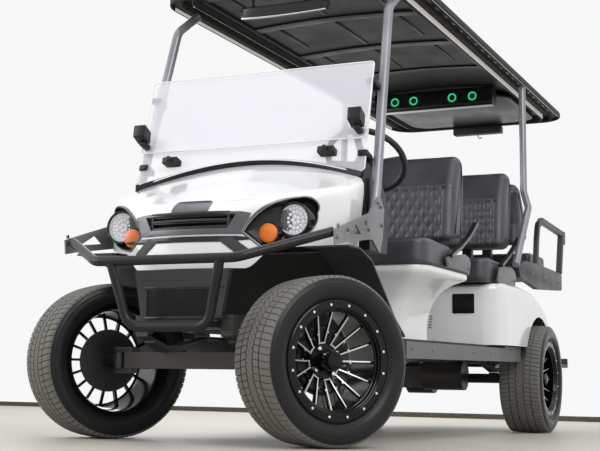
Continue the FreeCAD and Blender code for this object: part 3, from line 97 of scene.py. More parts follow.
def ranged(tree, source, low, high, from_low=0.0, from_high=1.0):
    """A factor mapped onto a range of values."""
    mapping = tree.nodes.new("ShaderNodeMapRange")
    for key, value in (("From Min", from_low), ("From Max", from_high), ("To Min", low),
                       ("To Max", high)):
        mapping.inputs[key].default_value = value
    tree.links.new(source, mapping.inputs["Value"])
    return mapping.outputs["Result"]


def mixed(tree, factor, first, second):
    """A colour between two, by a factor."""
    mix = tree.nodes.new("ShaderNodeMix")
    mix.data_type = "RGBA"
    tree.links.new(factor, mix.inputs["Factor"])
    for socket, value in (("A", first), ("B", second)):
        target = next(item for item in mix.inputs if item.name == socket and item.type == "RGBA")
        if hasattr(value, "is_output"):
            tree.links.new(value, target)
        else:
            target.default_value = (*value, 1)
    return next(item for item in mix.outputs if item.type == "RGBA")


def bumped(tree, shader, layers):
    """Chained bumps: (height socket, distance in metres, strength)."""
    last = None
    for height, distance, strength in layers:
        bump = tree.nodes.new("ShaderNodeBump")
        bump.inputs["Distance"].default_value = distance
        bump.inputs["Strength"].default_value = strength
        tree.links.new(height, bump.inputs["Height"])
        if last:
            tree.links.new(last.outputs["Normal"], bump.inputs["Normal"])
        last = bump
    tree.links.new(last.outputs["Normal"], shader.inputs["Normal"])


def finish(name, colour, rough, metallic=0.0, coat=0.0, grain=800.0, depth=0.1, spread=0.15,
           wear=0.0, wear_colour=(0.3, 0.3, 0.3), dust=0.0, cells=False, uneven=0.18, **sockets):
    """A surface with grain, uneven colour and gloss, worn edges and a little dust.

    grain is the number of grains a metre, depth the bump in millimetres, uneven the share by which
    the roughness varies.
    """
    material, tree, shader = node_tree(name)
    shader.inputs["Metallic"].default_value = metallic
    shader.inputs["Coat Weight"].default_value = coat
    for key, value in sockets.items():
        shader.inputs[key.replace("_", " ")].default_value = value
    cloud = textured(tree, "ShaderNodeTexNoise", 7.0, Detail=5.0)
    fine = textured(tree, "ShaderNodeTexNoise", grain, Detail=3.0)
    dark = tuple(part * (1 - spread) for part in colour)
    light = tuple(min(1, part * (1 + spread)) for part in colour)
    shade = mixed(tree, ranged(tree, cloud.outputs["Fac"], 0, 1, 0.3, 0.7), dark, light)
    if dust:
        surface = tree.nodes.new("ShaderNodeNewGeometry")
        up = tree.nodes.new("ShaderNodeSeparateXYZ")
        tree.links.new(surface.outputs["Normal"], up.inputs["Vector"])
        amount = tree.nodes.new("ShaderNodeMath")
        amount.operation = "MULTIPLY"
        tree.links.new(ranged(tree, up.outputs["Z"], 0, dust, 0.2, 1), amount.inputs[0])
        tree.links.new(cloud.outputs["Fac"], amount.inputs[1])
        shade = mixed(tree, amount.outputs["Value"], shade, (0.42, 0.39, 0.35))
    if wear:
        edge = tree.nodes.new("ShaderNodeNewGeometry")
        worn = ranged(tree, edge.outputs["Pointiness"], 0, wear, 0.53, 0.6)
        shade = mixed(tree, worn, shade, wear_colour)
    tree.links.new(shade, shader.inputs["Base Color"])
    least, most = rough * (1 - uneven), min(1, rough * (1 + uneven))
    tree.links.new(ranged(tree, cloud.outputs["Fac"], least, most, 0.3, 0.7),
                   shader.inputs["Roughness"])
    layers = [(fine.outputs["Fac"], depth * MM, 0.6)]
    if cells:
        cell = textured(tree, "ShaderNodeTexVoronoi", grain * 0.55, feature="DISTANCE_TO_EDGE")
        layers.append((ranged(tree, cell.outputs["Distance"], 0, 1, 0, 0.12), depth * MM, 0.8))
    bumped(tree, shader, layers)
    return material


def clear(name, colour, rough, alpha):
    """Clear plastic as a thin sheet that light goes straight through, with faint scratches; its
    pale colour at partial alpha is a painted reflection haze.
    """
    material, tree, shader = node_tree(name)
    # pale colour at partial alpha: painted reflection haze over the clear sheet
    shader.inputs["Base Color"].default_value = (*colour, 1)
    shader.inputs["IOR"].default_value = 1.45
    shader.inputs["Alpha"].default_value = alpha
    smear = textured(tree, "ShaderNodeTexNoise", 9.0, Detail=6.0)
    scratch = textured(tree, "ShaderNodeTexNoise", 420.0, Detail=2.0)
    tree.links.new(ranged(tree, smear.outputs["Fac"], rough, rough * 3 + 0.02, 0.35, 0.8),
                   shader.inputs["Roughness"])
    bumped(tree, shader, [(scratch.outputs["Fac"], 0.00002, 0.25)])
    return material


def glowing(name, colour, strength):
    """A lit strip or ring, with dotted roughness and bumps."""
    material, tree, shader = node_tree(name)
    shader.inputs["Base Color"].default_value = (*colour, 1)
    shader.inputs["Emission Color"].default_value = (*colour, 1)
    shader.inputs["Emission Strength"].default_value = strength
    dots = textured(tree, "ShaderNodeTexVoronoi", 160.0)
    tree.links.new(ranged(tree, dots.outputs["Distance"], 0.2, 0.5), shader.inputs["Roughness"])
    bumped(tree, shader, [(dots.outputs["Distance"], 0.0002, 0.4)])
    return material


WHITE = finish("white_gloss", (0.80, 0.81, 0.82), 0.16, coat=0.7, grain=90, depth=0.012,
               spread=0.02, dust=0.02, Coat_Roughness=0.04)
BLACK_PLASTIC = finish("black_plastic", (0.022, 0.022, 0.024), 0.52, grain=1500, depth=0.09,
                       cells=True, dust=0.05)
BLACK_GLOSS = finish("black_gloss", (0.010, 0.010, 0.012), 0.16, coat=0.25, grain=120, depth=0.01,
                     Specular_IOR_Level=0.3)
GRAPHITE = finish("graphite_coat", (0.12, 0.121, 0.135), 0.3, metallic=0.6, grain=1300, depth=0.04,
                  wear=0.25, wear_colour=(0.22, 0.22, 0.24))
# the roof struts are black powder coat; this light grey base is painted sheen standing in for their
# lit faces
STRUT_SHEEN_GREY = finish("strut_sheen_grey", (0.26, 0.26, 0.29), 0.34, metallic=0.35, grain=1300, depth=0.04,
                    wear=0.25, wear_colour=(0.36, 0.36, 0.38))
GREY_METAL = finish("grey_coat", (0.13, 0.135, 0.145), 0.4, metallic=0.5, grain=1200, depth=0.04,
                    wear=0.3, wear_colour=(0.4, 0.4, 0.42))
CHASSIS = finish("chassis_paint", (0.02, 0.02, 0.022), 0.42, metallic=0.2, grain=500, depth=0.07,
                 spread=0.35, wear=0.3, wear_colour=(0.12, 0.11, 0.1), dust=0.25)
SPRING_STEEL = finish("spring_steel", (0.07, 0.068, 0.066), 0.45, metallic=0.7, grain=300,
                      depth=0.08, spread=0.4, dust=0.2)
LEATHER = finish("black_leather", (0.050, 0.049, 0.060), 0.36, grain=520, depth=0.14, cells=True,
                 spread=0.2, Specular_IOR_Level=0.6)
RUBBER = finish("black_rubber", (0.018, 0.018, 0.018), 0.6, grain=900, depth=0.08, dust=0.1)
# tread's light grey-brown base: partly dust, partly a painted highlight for the light its blocks
# catch
TYRE = finish("tyre_tread", (0.135, 0.129, 0.115), 0.8, grain=650, depth=0.12, spread=0.2, dust=0.1,
              wear=0.25, wear_colour=(0.25, 0.24, 0.21))
SIDEWALL = finish("tyre_sidewall", (0.010, 0.010, 0.011), 0.34, grain=500, depth=0.05, spread=0.2,
                  Specular_IOR_Level=0.28)
RIM_BLACK = finish("rim_black", (0.003, 0.003, 0.0035), 0.16, coat=0.12, grain=900, depth=0.006,
                   Specular_IOR_Level=0.2, Coat_Roughness=0.05)
MACHINED = finish("machined_face", (0.70, 0.70, 0.70), 0.26, metallic=0.55, grain=1400, depth=0.02,
                  spread=0.06)
CHROME = finish("chrome", (0.75, 0.76, 0.78), 0.08, metallic=1.0, grain=200, depth=0.004,
                spread=0.03)
# windshield sheets: the whitish layer is a painted reflection veil
ACRYLIC = clear("clear_acrylic", (0.89, 0.88, 0.94), 0.03, alpha=0.32)
# near-white, mostly opaque edge tubes: a painted glint along the sheets' edges
ACRYLIC_EDGE_GLINT = clear("acrylic_edge_glint", (0.93, 0.93, 0.96), 0.1, alpha=0.8)
# headlamp lens: the faint pale layer is a painted reflection haze
LENS = clear("lamp_lens", (0.85, 0.86, 0.92), 0.02, alpha=0.14)
AMBER = finish("amber_lens", (0.80, 0.17, 0.004), 0.14, coat=0.5, grain=150, depth=0.6, cells=True,
               spread=0.3, Emission_Color=(1.0, 0.22, 0.005, 1.0), Emission_Strength=0.05)
MIRROR = finish("mirror_glass", (0.82, 0.84, 0.86), 0.03, metallic=1.0, grain=60, depth=0.002,
                spread=0.01)
GREEN_LIGHT = glowing("green_light", (0.01, 0.62, 0.22), 0.8)
LED_CELL = finish("lamp_cells", (0.80, 0.80, 0.84), 0.2, metallic=0.2, coat=0.4, grain=900,
                  depth=0.05, spread=0.06, Emission_Strength=0.12)
# the headlamp reflector's faint white emission is a painted glow; the reflector gives no light
LAMP_BOWL = finish("lamp_reflector", (0.56, 0.56, 0.60), 0.22, metallic=0.3, coat=0.4, grain=400,
                   depth=0.1, spread=0.12, cells=True, Emission_Strength=0.08)
KNURLED = finish("knurled_plastic", (0.03, 0.03, 0.033), 0.4, grain=420, depth=0.5, cells=True)
ROOF_SKIN = finish("roof_skin", (0.017, 0.0172, 0.018), 0.6, grain=500, depth=0.06, spread=0.06,
                   uneven=0.02, Specular_IOR_Level=0.25)
BLACK_SATIN = finish("black_satin", (0.010, 0.0105, 0.011), 0.36, grain=700, depth=0.03,
                     spread=0.08, Specular_IOR_Level=0.32)
LINING = finish("roof_lining", (0.045, 0.046, 0.050), 0.5, grain=900, depth=0.08, cells=True,
                spread=0.12, Specular_IOR_Level=0.3)
ARM_GREY = finish("frame_coat", (0.026, 0.027, 0.031), 0.42, grain=1300, depth=0.04, wear=0.3,
                  wear_colour=(0.2, 0.2, 0.22), Specular_IOR_Level=0.3)
SILL_GREY = finish("sill_grey", (0.115, 0.113, 0.118), 0.48, grain=1500, depth=0.06, cells=True,
                   dust=0.05)
GRIP = finish("grip_leather", (0.014, 0.014, 0.015), 0.42, grain=900, depth=0.12, cells=True)
CHROME_DARK = finish("dark_screw", (0.22, 0.22, 0.23), 0.28, metallic=1.0, grain=500, depth=0.01)
# pale strips on the roof; their emission is a painted glow for the light they reflect, they are no
# lamps
PALE_STRIP_GLOW = finish("pale_strip_glow", (0.80, 0.78, 0.70), 0.35, grain=300, depth=0.02, spread=0.04,
                    Emission_Color=(1.0, 0.97, 0.90, 1.0), Emission_Strength=0.3)

NODE_FINISH = (
    (ACRYLIC, "windshield_lower windshield_upper"),
    (AMBER, "turn_lamps"),
    (BLACK_GLOSS, "roof_fittings"),
    (BLACK_PLASTIC, "battery_pack controls dashboard fender_flares grilles rear_platforms roof"),
    (BLACK_SATIN, "brush_guard"),
    (CHASSIS, "frame front_axle knuckle_left knuckle_right rear_axle seat_posts"),
    (GRAPHITE, "arm_frames"),
    (GREY_METAL, "hip_restraints strut_brackets"),
    (LEATHER, "front_back front_cushion middle_back middle_cushion rear_back rear_cushion"),
    (LENS, "headlamps"),
    (MIRROR, "mirror"),
    (RIM_BLACK, "rim_front_left rim_front_right rim_rear_left rim_rear_right"),
    (RUBBER, "floor steering_wheel windshield_clips"),
    (SILL_GREY, "sills"),
    (SPRING_STEEL, "springs"),
    (STRUT_SHEEN_GREY, "roof_struts"),
    (TYRE, "tyre_front_left tyre_front_right tyre_rear_left tyre_rear_right"),
    (WHITE, "cowl rear_body seat_base"),
)


def dress_nodes():
    """Give every frame node its finish."""
    for material, names in NODE_FINISH:
        for name in names.split():
            for slot in NODES[name].material_slots:
                slot.material = material


# Mesh helpers; sizes are millimetres until the place matrix turns them into metres

def shade(mesh, angle):
    """Outward faces, smooth apart from edges sharper than an angle."""
    work = bmesh.new()
    work.from_mesh(mesh)
    bmesh.ops.remove_doubles(work, verts=work.verts, dist=2e-6)
    bmesh.ops.recalc_face_normals(work, faces=work.faces)
    limit = math.radians(angle)
    for face in work.faces:
        face.smooth = True
    for edge in work.edges:
        edge.smooth = len(edge.link_faces) == 2 and edge.calc_face_angle() < limit
    work.to_mesh(mesh)
    work.free()


def add_piece(name, verts, faces, material, body="chassis", smooth=35, replaces=(), second=None):
    """A new piece from points in metres that rides on a body of the frame.

    second is another material and a test on a face's number that says where it goes.
    """
    mesh = bpy.data.meshes.new(name)
    mesh.from_pydata([tuple(vert) for vert in verts], [], faces)
    mesh.materials.append(material)
    if second:
        mesh.materials.append(second[0])
        for number, face in enumerate(mesh.polygons):
            face.material_index = int(second[1](number))
    shade(mesh, smooth)
    obj = bpy.data.objects.new(name, mesh)
    bpy.context.scene.collection.objects.link(obj)
    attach(obj, body)
    if replaces:
        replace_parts(obj, *replaces)
    return obj


def grid_faces(rows, columns, wrap_rows=False, wrap_columns=False):
    """Quads over a grid of points kept row by row."""
    faces = []
    for i in range(rows if wrap_rows else rows - 1):
        here, below = i * columns, (i + 1) % rows * columns
        for j in range(columns if wrap_columns else columns - 1):
            right = (j + 1) % columns
            faces.append((here + j, here + right, below + right, below + j))
    return faces


def tube_faces(rows, count):
    """Faces of a tube through closed sections of count points, shut at both ends."""
    last = (rows - 1) * count
    return grid_faces(rows, count, wrap_columns=True) + [
        tuple(range(count)), tuple(last + k for k in reversed(range(count)))]


def turns(count, shift=0.0):
    """Even angles round a circle, in radians."""
    return [2 * math.pi * (k + shift) / count for k in range(count)]


def polar(x, along, turn, across=0.0):
    """A point round the X axis, out along a radius and across it."""
    return Vector((x, along * math.cos(turn) - across * math.sin(turn),
                   along * math.sin(turn) + across * math.cos(turn)))


def lathe(name, profile, place, material, body="chassis", count=96, closed=False, smooth=35):
    """A profile of (along, radius) turned about the place's own X axis."""
    verts = [place @ polar(along, radius, turn)
             for turn in turns(count) for along, radius in profile]
    faces = grid_faces(count, len(profile), wrap_rows=True, wrap_columns=closed)
    return add_piece(name, verts, faces, material, body, smooth)


def circle(radius, count=16):
    """A round section for a sweep."""
    return [(radius * math.cos(turn), radius * math.sin(turn)) for turn in turns(count)]


def rounded_path(points, bend, steps=6):
    """Straight runs joined by arcs of one radius, where there is room for it."""
    points = [Vector(point) for point in points]
    path = [points[0]]
    for before, corner, after in zip(points, points[1:], points[2:]):
        into = (corner - before).normalized()
        out = (after - corner).normalized()
        turn = into.angle(out)
        if turn < 0.02:
            path.append(corner)
            continue
        reach = min(bend * math.tan(turn / 2), 0.45 * (corner - before).length,
                    0.45 * (after - corner).length)
        radius = reach / math.tan(turn / 2)
        centre = corner + (out - into).normalized() * (radius / math.cos(turn / 2))
        arm = corner - into * reach - centre
        axis = into.cross(out).normalized()
        path += [centre + Matrix.Rotation(turn * k / steps, 3, axis) @ arm
                 for k in range(steps + 1)]
    path.append(points[-1])
    return path


def rounded_outline(points, radius, steps=5):
    """A closed outline in a plane with its corners rounded."""
    flat = [Vector((a, b, 0)) for a, b in points]
    count = len(flat)
    outline = []
    for k in range(count):
        before, corner, after = flat[k - 1], flat[k], flat[(k + 1) % count]
        start = corner + (before - corner) * 0.5
        end = corner + (after - corner) * 0.5
        outline += rounded_path([start, corner, end], radius, steps)[1:-1]
    return [(point.x, point.y) for point in outline]


def bar_section(half_across, half_up, radius):
    """A rectangle with rounded corners about the middle."""
    a, b = half_across, half_up
    return rounded_outline([(-a, -b), (a, -b), (a, b), (-a, b)], radius)


def sweep(name, path, section, material, body="chassis", up=(0, 0, 1), place=None, smooth=35,
          replaces=()):
    """A closed section of (across, up) carried along a path, with flat ends."""
    place = place or LEVEL
    path = [Vector(point) for point in path]
    verts = []
    for k, point in enumerate(path):
        tangent = (path[min(k + 1, len(path) - 1)] - path[max(k - 1, 0)]).normalized()
        side = tangent.cross(Vector(up)).normalized()
        top = side.cross(tangent)
        verts += [place @ (point + side * across + top * rise) for across, rise in section]
    return add_piece(name, verts, tube_faces(len(path), len(section)), material, body, smooth,
                     replaces)


def solid(name, work, material, body="chassis", place=None, smooth=35, replaces=()):
    """A piece from a bmesh in millimetres."""
    place = place or LEVEL
    work.verts.index_update()
    verts = [place @ vert.co for vert in work.verts]
    faces = [tuple(vert.index for vert in face.verts) for face in work.faces]
    work.free()
    return add_piece(name, verts, faces, material, body, smooth, replaces)


def ease_edges(work, width):
    """Bevel every edge of a bmesh a little."""
    bmesh.ops.bevel(work, geom=work.edges[:], offset=width, segments=2, affect="EDGES", profile=0.5)


def formed_cube(form, bevel=0.0):
    """A bmesh cube whose corners, half a unit from its middle, are moved by form(x, y, z)."""
    work = bmesh.new()
    bmesh.ops.create_cube(work, size=1)
    for vert in work.verts:
        vert.co = form(*vert.co)
    if bevel:
        ease_edges(work, bevel)
    return work


def block(name, low, high, material, bevel=2.0, body="chassis", place=None, smooth=50):
    """A box between two corners with eased edges."""
    low, high = Vector(low), Vector(high)
    work = formed_cube(lambda *corner: [share * (b - a) for share, a, b in zip(corner, low, high)],
                       bevel)
    for vert in work.verts:
        vert.co += (low + high) / 2
    return solid(name, work, material, body, place, smooth)


def blocks(name, spans, material, bevel, **settings):
    """Boxes of one material as one object, each from its low and its high corner."""
    return gathered(name, [block(name, low, high, material, bevel, **settings)
                           for low, high in spans])


def extruded(outline, shift):
    """A bmesh of a flat outline drawn along a shift."""
    work = bmesh.new()
    face = work.faces.new([work.verts.new(point) for point in outline])
    for item in bmesh.ops.extrude_face_region(work, geom=[face])["geom"]:
        if isinstance(item, bmesh.types.BMVert):
            item.co += shift
    return work


def plate(name, outline, spot, low, high, material, bevel=0.0, body="chassis", place=None,
          smooth=35, replaces=()):
    """A flat outline of (a, b) given thickness; spot(a, b, c) sets it in space."""
    work = extruded([spot(a, b, low) for a, b in outline],
                    Vector(spot(0, 0, high)) - Vector(spot(0, 0, low)))
    if bevel:
        ease_edges(work, bevel)
    return solid(name, work, material, body, place, smooth, replaces)


def sideways(side):
    """Sets a plate's outline of (station, height) out to one side of the cart."""
    return lambda a, b, c: (side * c, a, b)


def gathered(name, pieces):
    """Pieces of one material and body joined into one object."""
    first = pieces[0]
    work = bmesh.new()
    for piece in pieces:
        work.from_mesh(piece.data)
    work.to_mesh(first.data)
    work.free()
    for piece in pieces[1:]:
        bpy.data.objects.remove(piece)
    first.name = name
    return first


def arc_points(first, middle, last, steps):
    """Points of the circle arc through three points of a plane."""
    ax, ay = first
    bx, by = middle
    cx, cy = last
    d = 2 * (ax * (by - cy) + bx * (cy - ay) + cx * (ay - by))
    ux = ((ax * ax + ay * ay) * (by - cy) + (bx * bx + by * by) * (cy - ay)
          + (cx * cx + cy * cy) * (ay - by)) / d
    uy = ((ax * ax + ay * ay) * (cx - bx) + (bx * bx + by * by) * (ax - cx)
          + (cx * cx + cy * cy) * (bx - ax)) / d
    radius = math.hypot(ax - ux, ay - uy)
    start, mid, end = (math.atan2(y - uy, x - ux) for x, y in (first, middle, last))
    sweep_angle = (end - start) % (2 * math.pi)
    if (mid - start) % (2 * math.pi) > sweep_angle:
        sweep_angle -= 2 * math.pi
    return [(ux + radius * math.cos(start + sweep_angle * k / steps),
             uy + radius * math.sin(start + sweep_angle * k / steps)) for k in range(steps + 1)]


def resampled(points, count, closed=False):
    """Evenly spaced points along an outline."""
    points = list(points) + ([points[0]] if closed else [])
    lengths = [math.dist(a, b) for a, b in zip(points, points[1:])]
    total = sum(lengths)
    result = []
    k, passed = 0, 0.0
    steps = count if closed else count - 1
    for number in range(count):
        target = total * number / steps
        while k < len(lengths) - 1 and passed + lengths[k] < target:
            passed += lengths[k]
            k += 1
        part = (target - passed) / lengths[k] if lengths[k] else 0
        a, b = points[k], points[k + 1]
        result.append(tuple(a[n] + (b[n] - a[n]) * min(1, part) for n in range(len(a))))
    return result


def smoothstep(value, low, high):
    """From 0 to 1 with soft ends as the value goes from low to high."""
    part = min(1, max(0, (value - low) / (high - low)))
    return part * part * (3 - 2 * part)


# Cowl: the hood's height over its plan, a rounded edge and a skirt

NOSE_CENTRE, NOSE_RADIUS, NOSE_FRONT = 365.0, 555.0, -190.0
COWL_HALF, COWL_REAR = 497.0, 333.0
HOOD_FOOT, HOOD_RISE, HOOD_CROWN, HOOD_HALF, HOOD_LENGTH = 818, 249, 71, 512, 523
SLOT_TOP, SLOT_LOW = [(-182, 802), (182, 802)], [(-154, 752), (154, 752)]


def hood_height(x, station):
    """The hood climbs to the rear and falls away to the sides."""
    along = max(0.0, (station - NOSE_FRONT) / HOOD_LENGTH)
    return HOOD_FOOT + HOOD_RISE * along ** 0.95 - HOOD_CROWN * (x / HOOD_HALF) ** 2 * along ** 0.7


def rear_station(x):
    """The hood's bowed rear edge."""
    return COWL_REAR - 67 * (x / HOOD_HALF) ** 2


def edge_radius(x):
    """The hood rolls over more softly in the middle of the nose than over the lamps."""
    return 60 - 32 * smoothstep(abs(x), 120, 270)


def skirt_low(x):
    """The skirt's lower edge, higher over the wheels."""
    return 612 + 70 * smoothstep(abs(x), 215, 305) + 12 * smoothstep(abs(x), 305, 394)


def rolled(x, station, depth):
    """Height of the cowl's skin at a depth in from its plan edge."""
    radius = edge_radius(x)
    over = max(0.0, radius - depth)
    return hood_height(x, station) - radius + math.sqrt(max(0.0, radius ** 2 - over ** 2))


def nose(x, height, out=0.0):
    """A point on the cowl's front, given as seen from the front, lifted off the skin."""
    def station(depth):
        return NOSE_CENTRE - math.sqrt(max(1.0, (NOSE_RADIUS - depth) ** 2 - x * x))
    radius = edge_radius(x)
    low, high = 0.0, radius
    if height > rolled(x, station(0), 0):
        for _ in range(14):
            middle = (low + high) / 2
            if rolled(x, station(middle), middle) < height:
                low = middle
            else:
                high = middle
    else:
        high = 0.0
    lean = math.acos(max(-1.0, 1 - high / radius))
    base = station(high)
    outward = Vector((x, base - NOSE_CENTRE, 0)).normalized() * math.cos(lean)
    outward.z = math.sin(lean)
    return Vector((x, base, height)) + outward * out


def build_cowl():
    """White hood and skirt with the leaf-shaped recesses and the nose slot cut out."""
    roll, inner, skirt, run, bow = 7, 12, 12, 12, 72
    turn = math.asin(COWL_HALF / NOSE_RADIUS)
    reach = NOSE_CENTRE - math.sqrt(NOSE_RADIUS ** 2 - COWL_HALF ** 2)
    side = rear_station(COWL_HALF) - reach
    edge = [(-COWL_HALF, rear_station(COWL_HALF) - side * k / run, -1, 0) for k in range(run)]
    for k in range(bow + 1):
        out_x, out_s = math.sin(2 * turn * k / bow - turn), -math.cos(2 * turn * k / bow - turn)
        edge.append((NOSE_RADIUS * out_x, NOSE_CENTRE + NOSE_RADIUS * out_s, out_x, out_s))
    edge += [(COWL_HALF, reach + side * (k + 1) / run, 1, 0) for k in range(run)]
    rows = []
    for number, (x, station, out_x, out_s) in enumerate(edge):
        radius = edge_radius(x)
        share = number / (len(edge) - 1)
        back_x = (2 * share - 1) * (COWL_HALF - radius)
        column = []
        for k in range(inner):
            part = k / inner
            foot = (x - out_x * radius, station - out_s * radius)
            px = back_x + (foot[0] - back_x) * part
            ps = rear_station(back_x) + (foot[1] - rear_station(back_x)) * part
            column.append(Vector((px, ps, hood_height(px, ps))))
        for k in range(roll + 1):
            depth = radius * (1 - math.sin(math.pi / 2 * k / roll))
            px, ps = x - out_x * depth, station - out_s * depth
            column.append(Vector((px, ps, rolled(px, ps, depth))))
        top = column[-1].z
        low = skirt_low(x)
        lean = 0.25 * smoothstep(station, reach, rear_station(COWL_HALF)) if abs(x) > 490 else 0
        for k in range(1, skirt + 1):
            height = top + (low - top) * k / skirt
            column.append(Vector((x, station - lean * (top - height), height)))
        rows.append(column)
    verts = [LEVEL @ point for column in rows for point in column]
    cowl = add_piece("cowl_skin", verts, grid_faces(len(rows), len(rows[0])), WHITE, smooth=60)
    tools = [column_tool(leaf_outline(side), -400, 260) for side in (1, -1)]
    tools.append(column_tool(SLOT_TOP + SLOT_LOW[::-1], -400, -60))
    bake(cowl, 5, tools)
    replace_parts(cowl, "cowl")


def column_tool(outline, front, rear):
    """A cutter: an outline of (x, height) drawn through the nose."""
    work = extruded([LEVEL @ Vector((x, front, height)) for x, height in outline],
                    LEVEL @ Vector((0, rear, 0)) - LEVEL @ Vector((0, front, 0)))
    bmesh.ops.recalc_face_normals(work, faces=work.faces)
    mesh = bpy.data.meshes.new("tool")
    work.to_mesh(mesh)
    work.free()
    tool = bpy.data.objects.new("tool", mesh)
    bpy.context.scene.collection.objects.link(tool)
    return tool


def bake(skin, thick, tools=()):
    """Make a skin into a shell of even thickness, hollow side inwards, and cut the tools away."""
    shell = skin.modifiers.new("shell", "SOLIDIFY")
    shell.thickness = thick * MM
    shell.offset = -1
    for tool in tools:
        cut = skin.modifiers.new("cut", "BOOLEAN")
        cut.operation = "DIFFERENCE"
        cut.solver = "EXACT"
        cut.object = tool
    graph = bpy.context.evaluated_depsgraph_get()
    mesh = bpy.data.meshes.new_from_object(skin.evaluated_get(graph))
    skin.modifiers.clear()
    skin.data = mesh
    for tool in tools:
        bpy.data.objects.remove(tool)
    shade(mesh, 40)


# recess outline as arcs through x, height; the graphite rim round it has its own
LEAF = (((207, 740), (262, 813), (372, 864)), ((372, 864), (412, 858), (420, 815)),
        ((420, 815), (412, 764), (379, 724)), ((379, 724), (322, 700), (265, 690)))
LEAF_RIM = (((198, 737), (257, 820), (373, 871)), ((373, 871), (414, 864), (423, 815)),
            ((423, 815), (415, 761), (381, 719)), ((381, 719), (322, 695), (262, 685)))
LEAF_POINTS = 90
LEAF_MIDDLE = (330, 782)
HEADLAMP, TURN_LAMP = (355, -52, 787), (277, -82, 738)


def leaf_outline(side, bends=LEAF, factor=1.0):
    """One side's recess outline, or its rim's, shrunk towards the recess's middle by a factor."""
    points = []
    for bend in bends:
        points += arc_points(*bend, 14)[:-1]
    points.append(bends[-1][-1])
    middle_x, middle_z = LEAF_MIDDLE
    return [(side * (middle_x + (x - middle_x) * factor), middle_z + (height - middle_z) * factor)
            for x, height in resampled(points, LEAF_POINTS, closed=True)]


def nose_band(name, rings, material, smooth):
    """Closed bands on the nose: rings of (outline, lift off the skin) with matching points."""
    verts = [LEVEL @ nose(x, height, lift) for outline, lift in rings for x, height in outline]
    return add_piece(name, verts, grid_faces(len(rings), LEAF_POINTS, wrap_columns=True), material,
                     smooth=smooth)


def nose_sheet(name, upper, lower, lift, thick, material, columns=36, rows=4, round_over=1.5):
    """A plate on the nose between an upper and a lower line, with its edges turned in."""
    upper = resampled(upper, columns + 1)
    lower = resampled(lower, columns + 1)

    def spot(i, j, off):
        part = j / rows
        x = upper[i][0] + (lower[i][0] - upper[i][0]) * part
        height = upper[i][1] + (lower[i][1] - upper[i][1]) * part
        return LEVEL @ nose(x, height, off)

    verts = [spot(i, j, lift if 0 < i < columns and 0 < j < rows else lift - round_over * 0.4)
             for i in range(columns + 1) for j in range(rows + 1)]
    faces = grid_faces(columns + 1, rows + 1)
    rim = ([(i, 0) for i in range(columns)] + [(columns, j) for j in range(rows)]
           + [(i, rows) for i in range(columns, 0, -1)] + [(0, j) for j in range(rows, 0, -1)])
    start = len(verts)
    verts += [spot(i, j, lift - thick) for i, j in rim]
    count = len(rim)
    for k in range(count):
        after = (k + 1) % count
        top = [rim[n][0] * (rows + 1) + rim[n][1] for n in (k, after)]
        faces.append((top[0], top[1], start + after, start + k))
    return add_piece(name, verts, faces, material, smooth=30)


def facing(x, station, height):
    """A place whose X axis points forward out of the cart."""
    return LEVEL @ Matrix(((0, 1, 0, x), (-1, 0, 0, station), (0, 0, 1, height), (0, 0, 0, 1)))


def build_lamp_recess(side):
    """Bowl, graphite rim and the two round lamps of one side."""
    rings = [(leaf_outline(side, factor=factor), lift)
             for factor, lift in ((1.0, -1), (0.985, -14), (0.95, -24), (0.85, -30), (0.6, -32),
                                  (0.3, -33), (0.02, -33))]
    bowl = nose_band(f"recess_bowl_{side}", rings, BLACK_SATIN, 50)
    outer, inner = leaf_outline(side, LEAF_RIM), leaf_outline(side)
    between = [((a[0] + b[0]) / 2, (a[1] + b[1]) / 2) for a, b in zip(outer, inner)]
    nose_band(f"recess_rim_{side}",
              [(outer, -4), (outer, 2), (between, 5), (inner, 4), (inner, -12)], GRAPHITE, 40)
    # headlamp: bezel, reflector, lamp cells and lens
    place = facing(side * HEADLAMP[0], *HEADLAMP[1:])
    lathe(f"headlamp_bezel_{side}", [(-70, 64), (2, 64), (6, 62), (6, 57), (3, 54.5), (-30, 54),
                                     (-70, 54)], place, BLACK_GLOSS, closed=True)
    lathe(f"headlamp_bowl_{side}", [(2, 54), (-4, 50), (-14, 45), (-20, 30), (-22, 0)], place,
          LAMP_BOWL, count=72)
    cells = []
    for ring, count, size in ((44, 20, 5.6), (29, 12, 6.4), (12, 5, 7.0)):
        cell = [(-6, size), (0, size), (2, size * 0.75), (3.4, size * 0.35), (3.8, 0)]
        cells += [lathe("cell", cell, place @ Matrix.Translation(polar(-12, ring, turn)), LED_CELL,
                        count=10) for turn in turns(count, 0.5)]
    gathered(f"headlamp_cells_{side}", cells)
    lens = lathe(f"headlamp_lens_{side}", [(0, 54), (4, 50), (8, 40), (11, 25), (12, 0)], place,
                 LENS)
    # turn lamp: a drum wall, then a ridged dome
    place = facing(side * TURN_LAMP[0], *TURN_LAMP[1:])
    lathe(f"turn_bezel_{side}", [(-60, 38.5), (6, 38.5), (8, 37), (6, 34), (-60, 34)], place,
          BLACK_GLOSS, closed=True)
    verts = []
    count, wall, rings, drum = 96, 4, 16, 34.2
    for turn in turns(count):
        for n in range(rings):
            radius = drum if n < wall else drum * (1 - (n - wall) / (rings - 1 - wall))
            rise = (-4 + 5.5 * n if n < wall
                    else 15 + 8 * math.sqrt(max(0, 1 - (radius / 35.5) ** 2)))
            ridge = 0.9 * math.cos(radius * 1.1) * math.cos(turn * 8) * (n > wall)
            verts.append(place @ polar(rise + ridge, radius, turn))
    amber = add_piece(f"turn_lens_{side}", verts, grid_faces(count, rings, wrap_rows=True), AMBER)
    return bowl, lens, amber


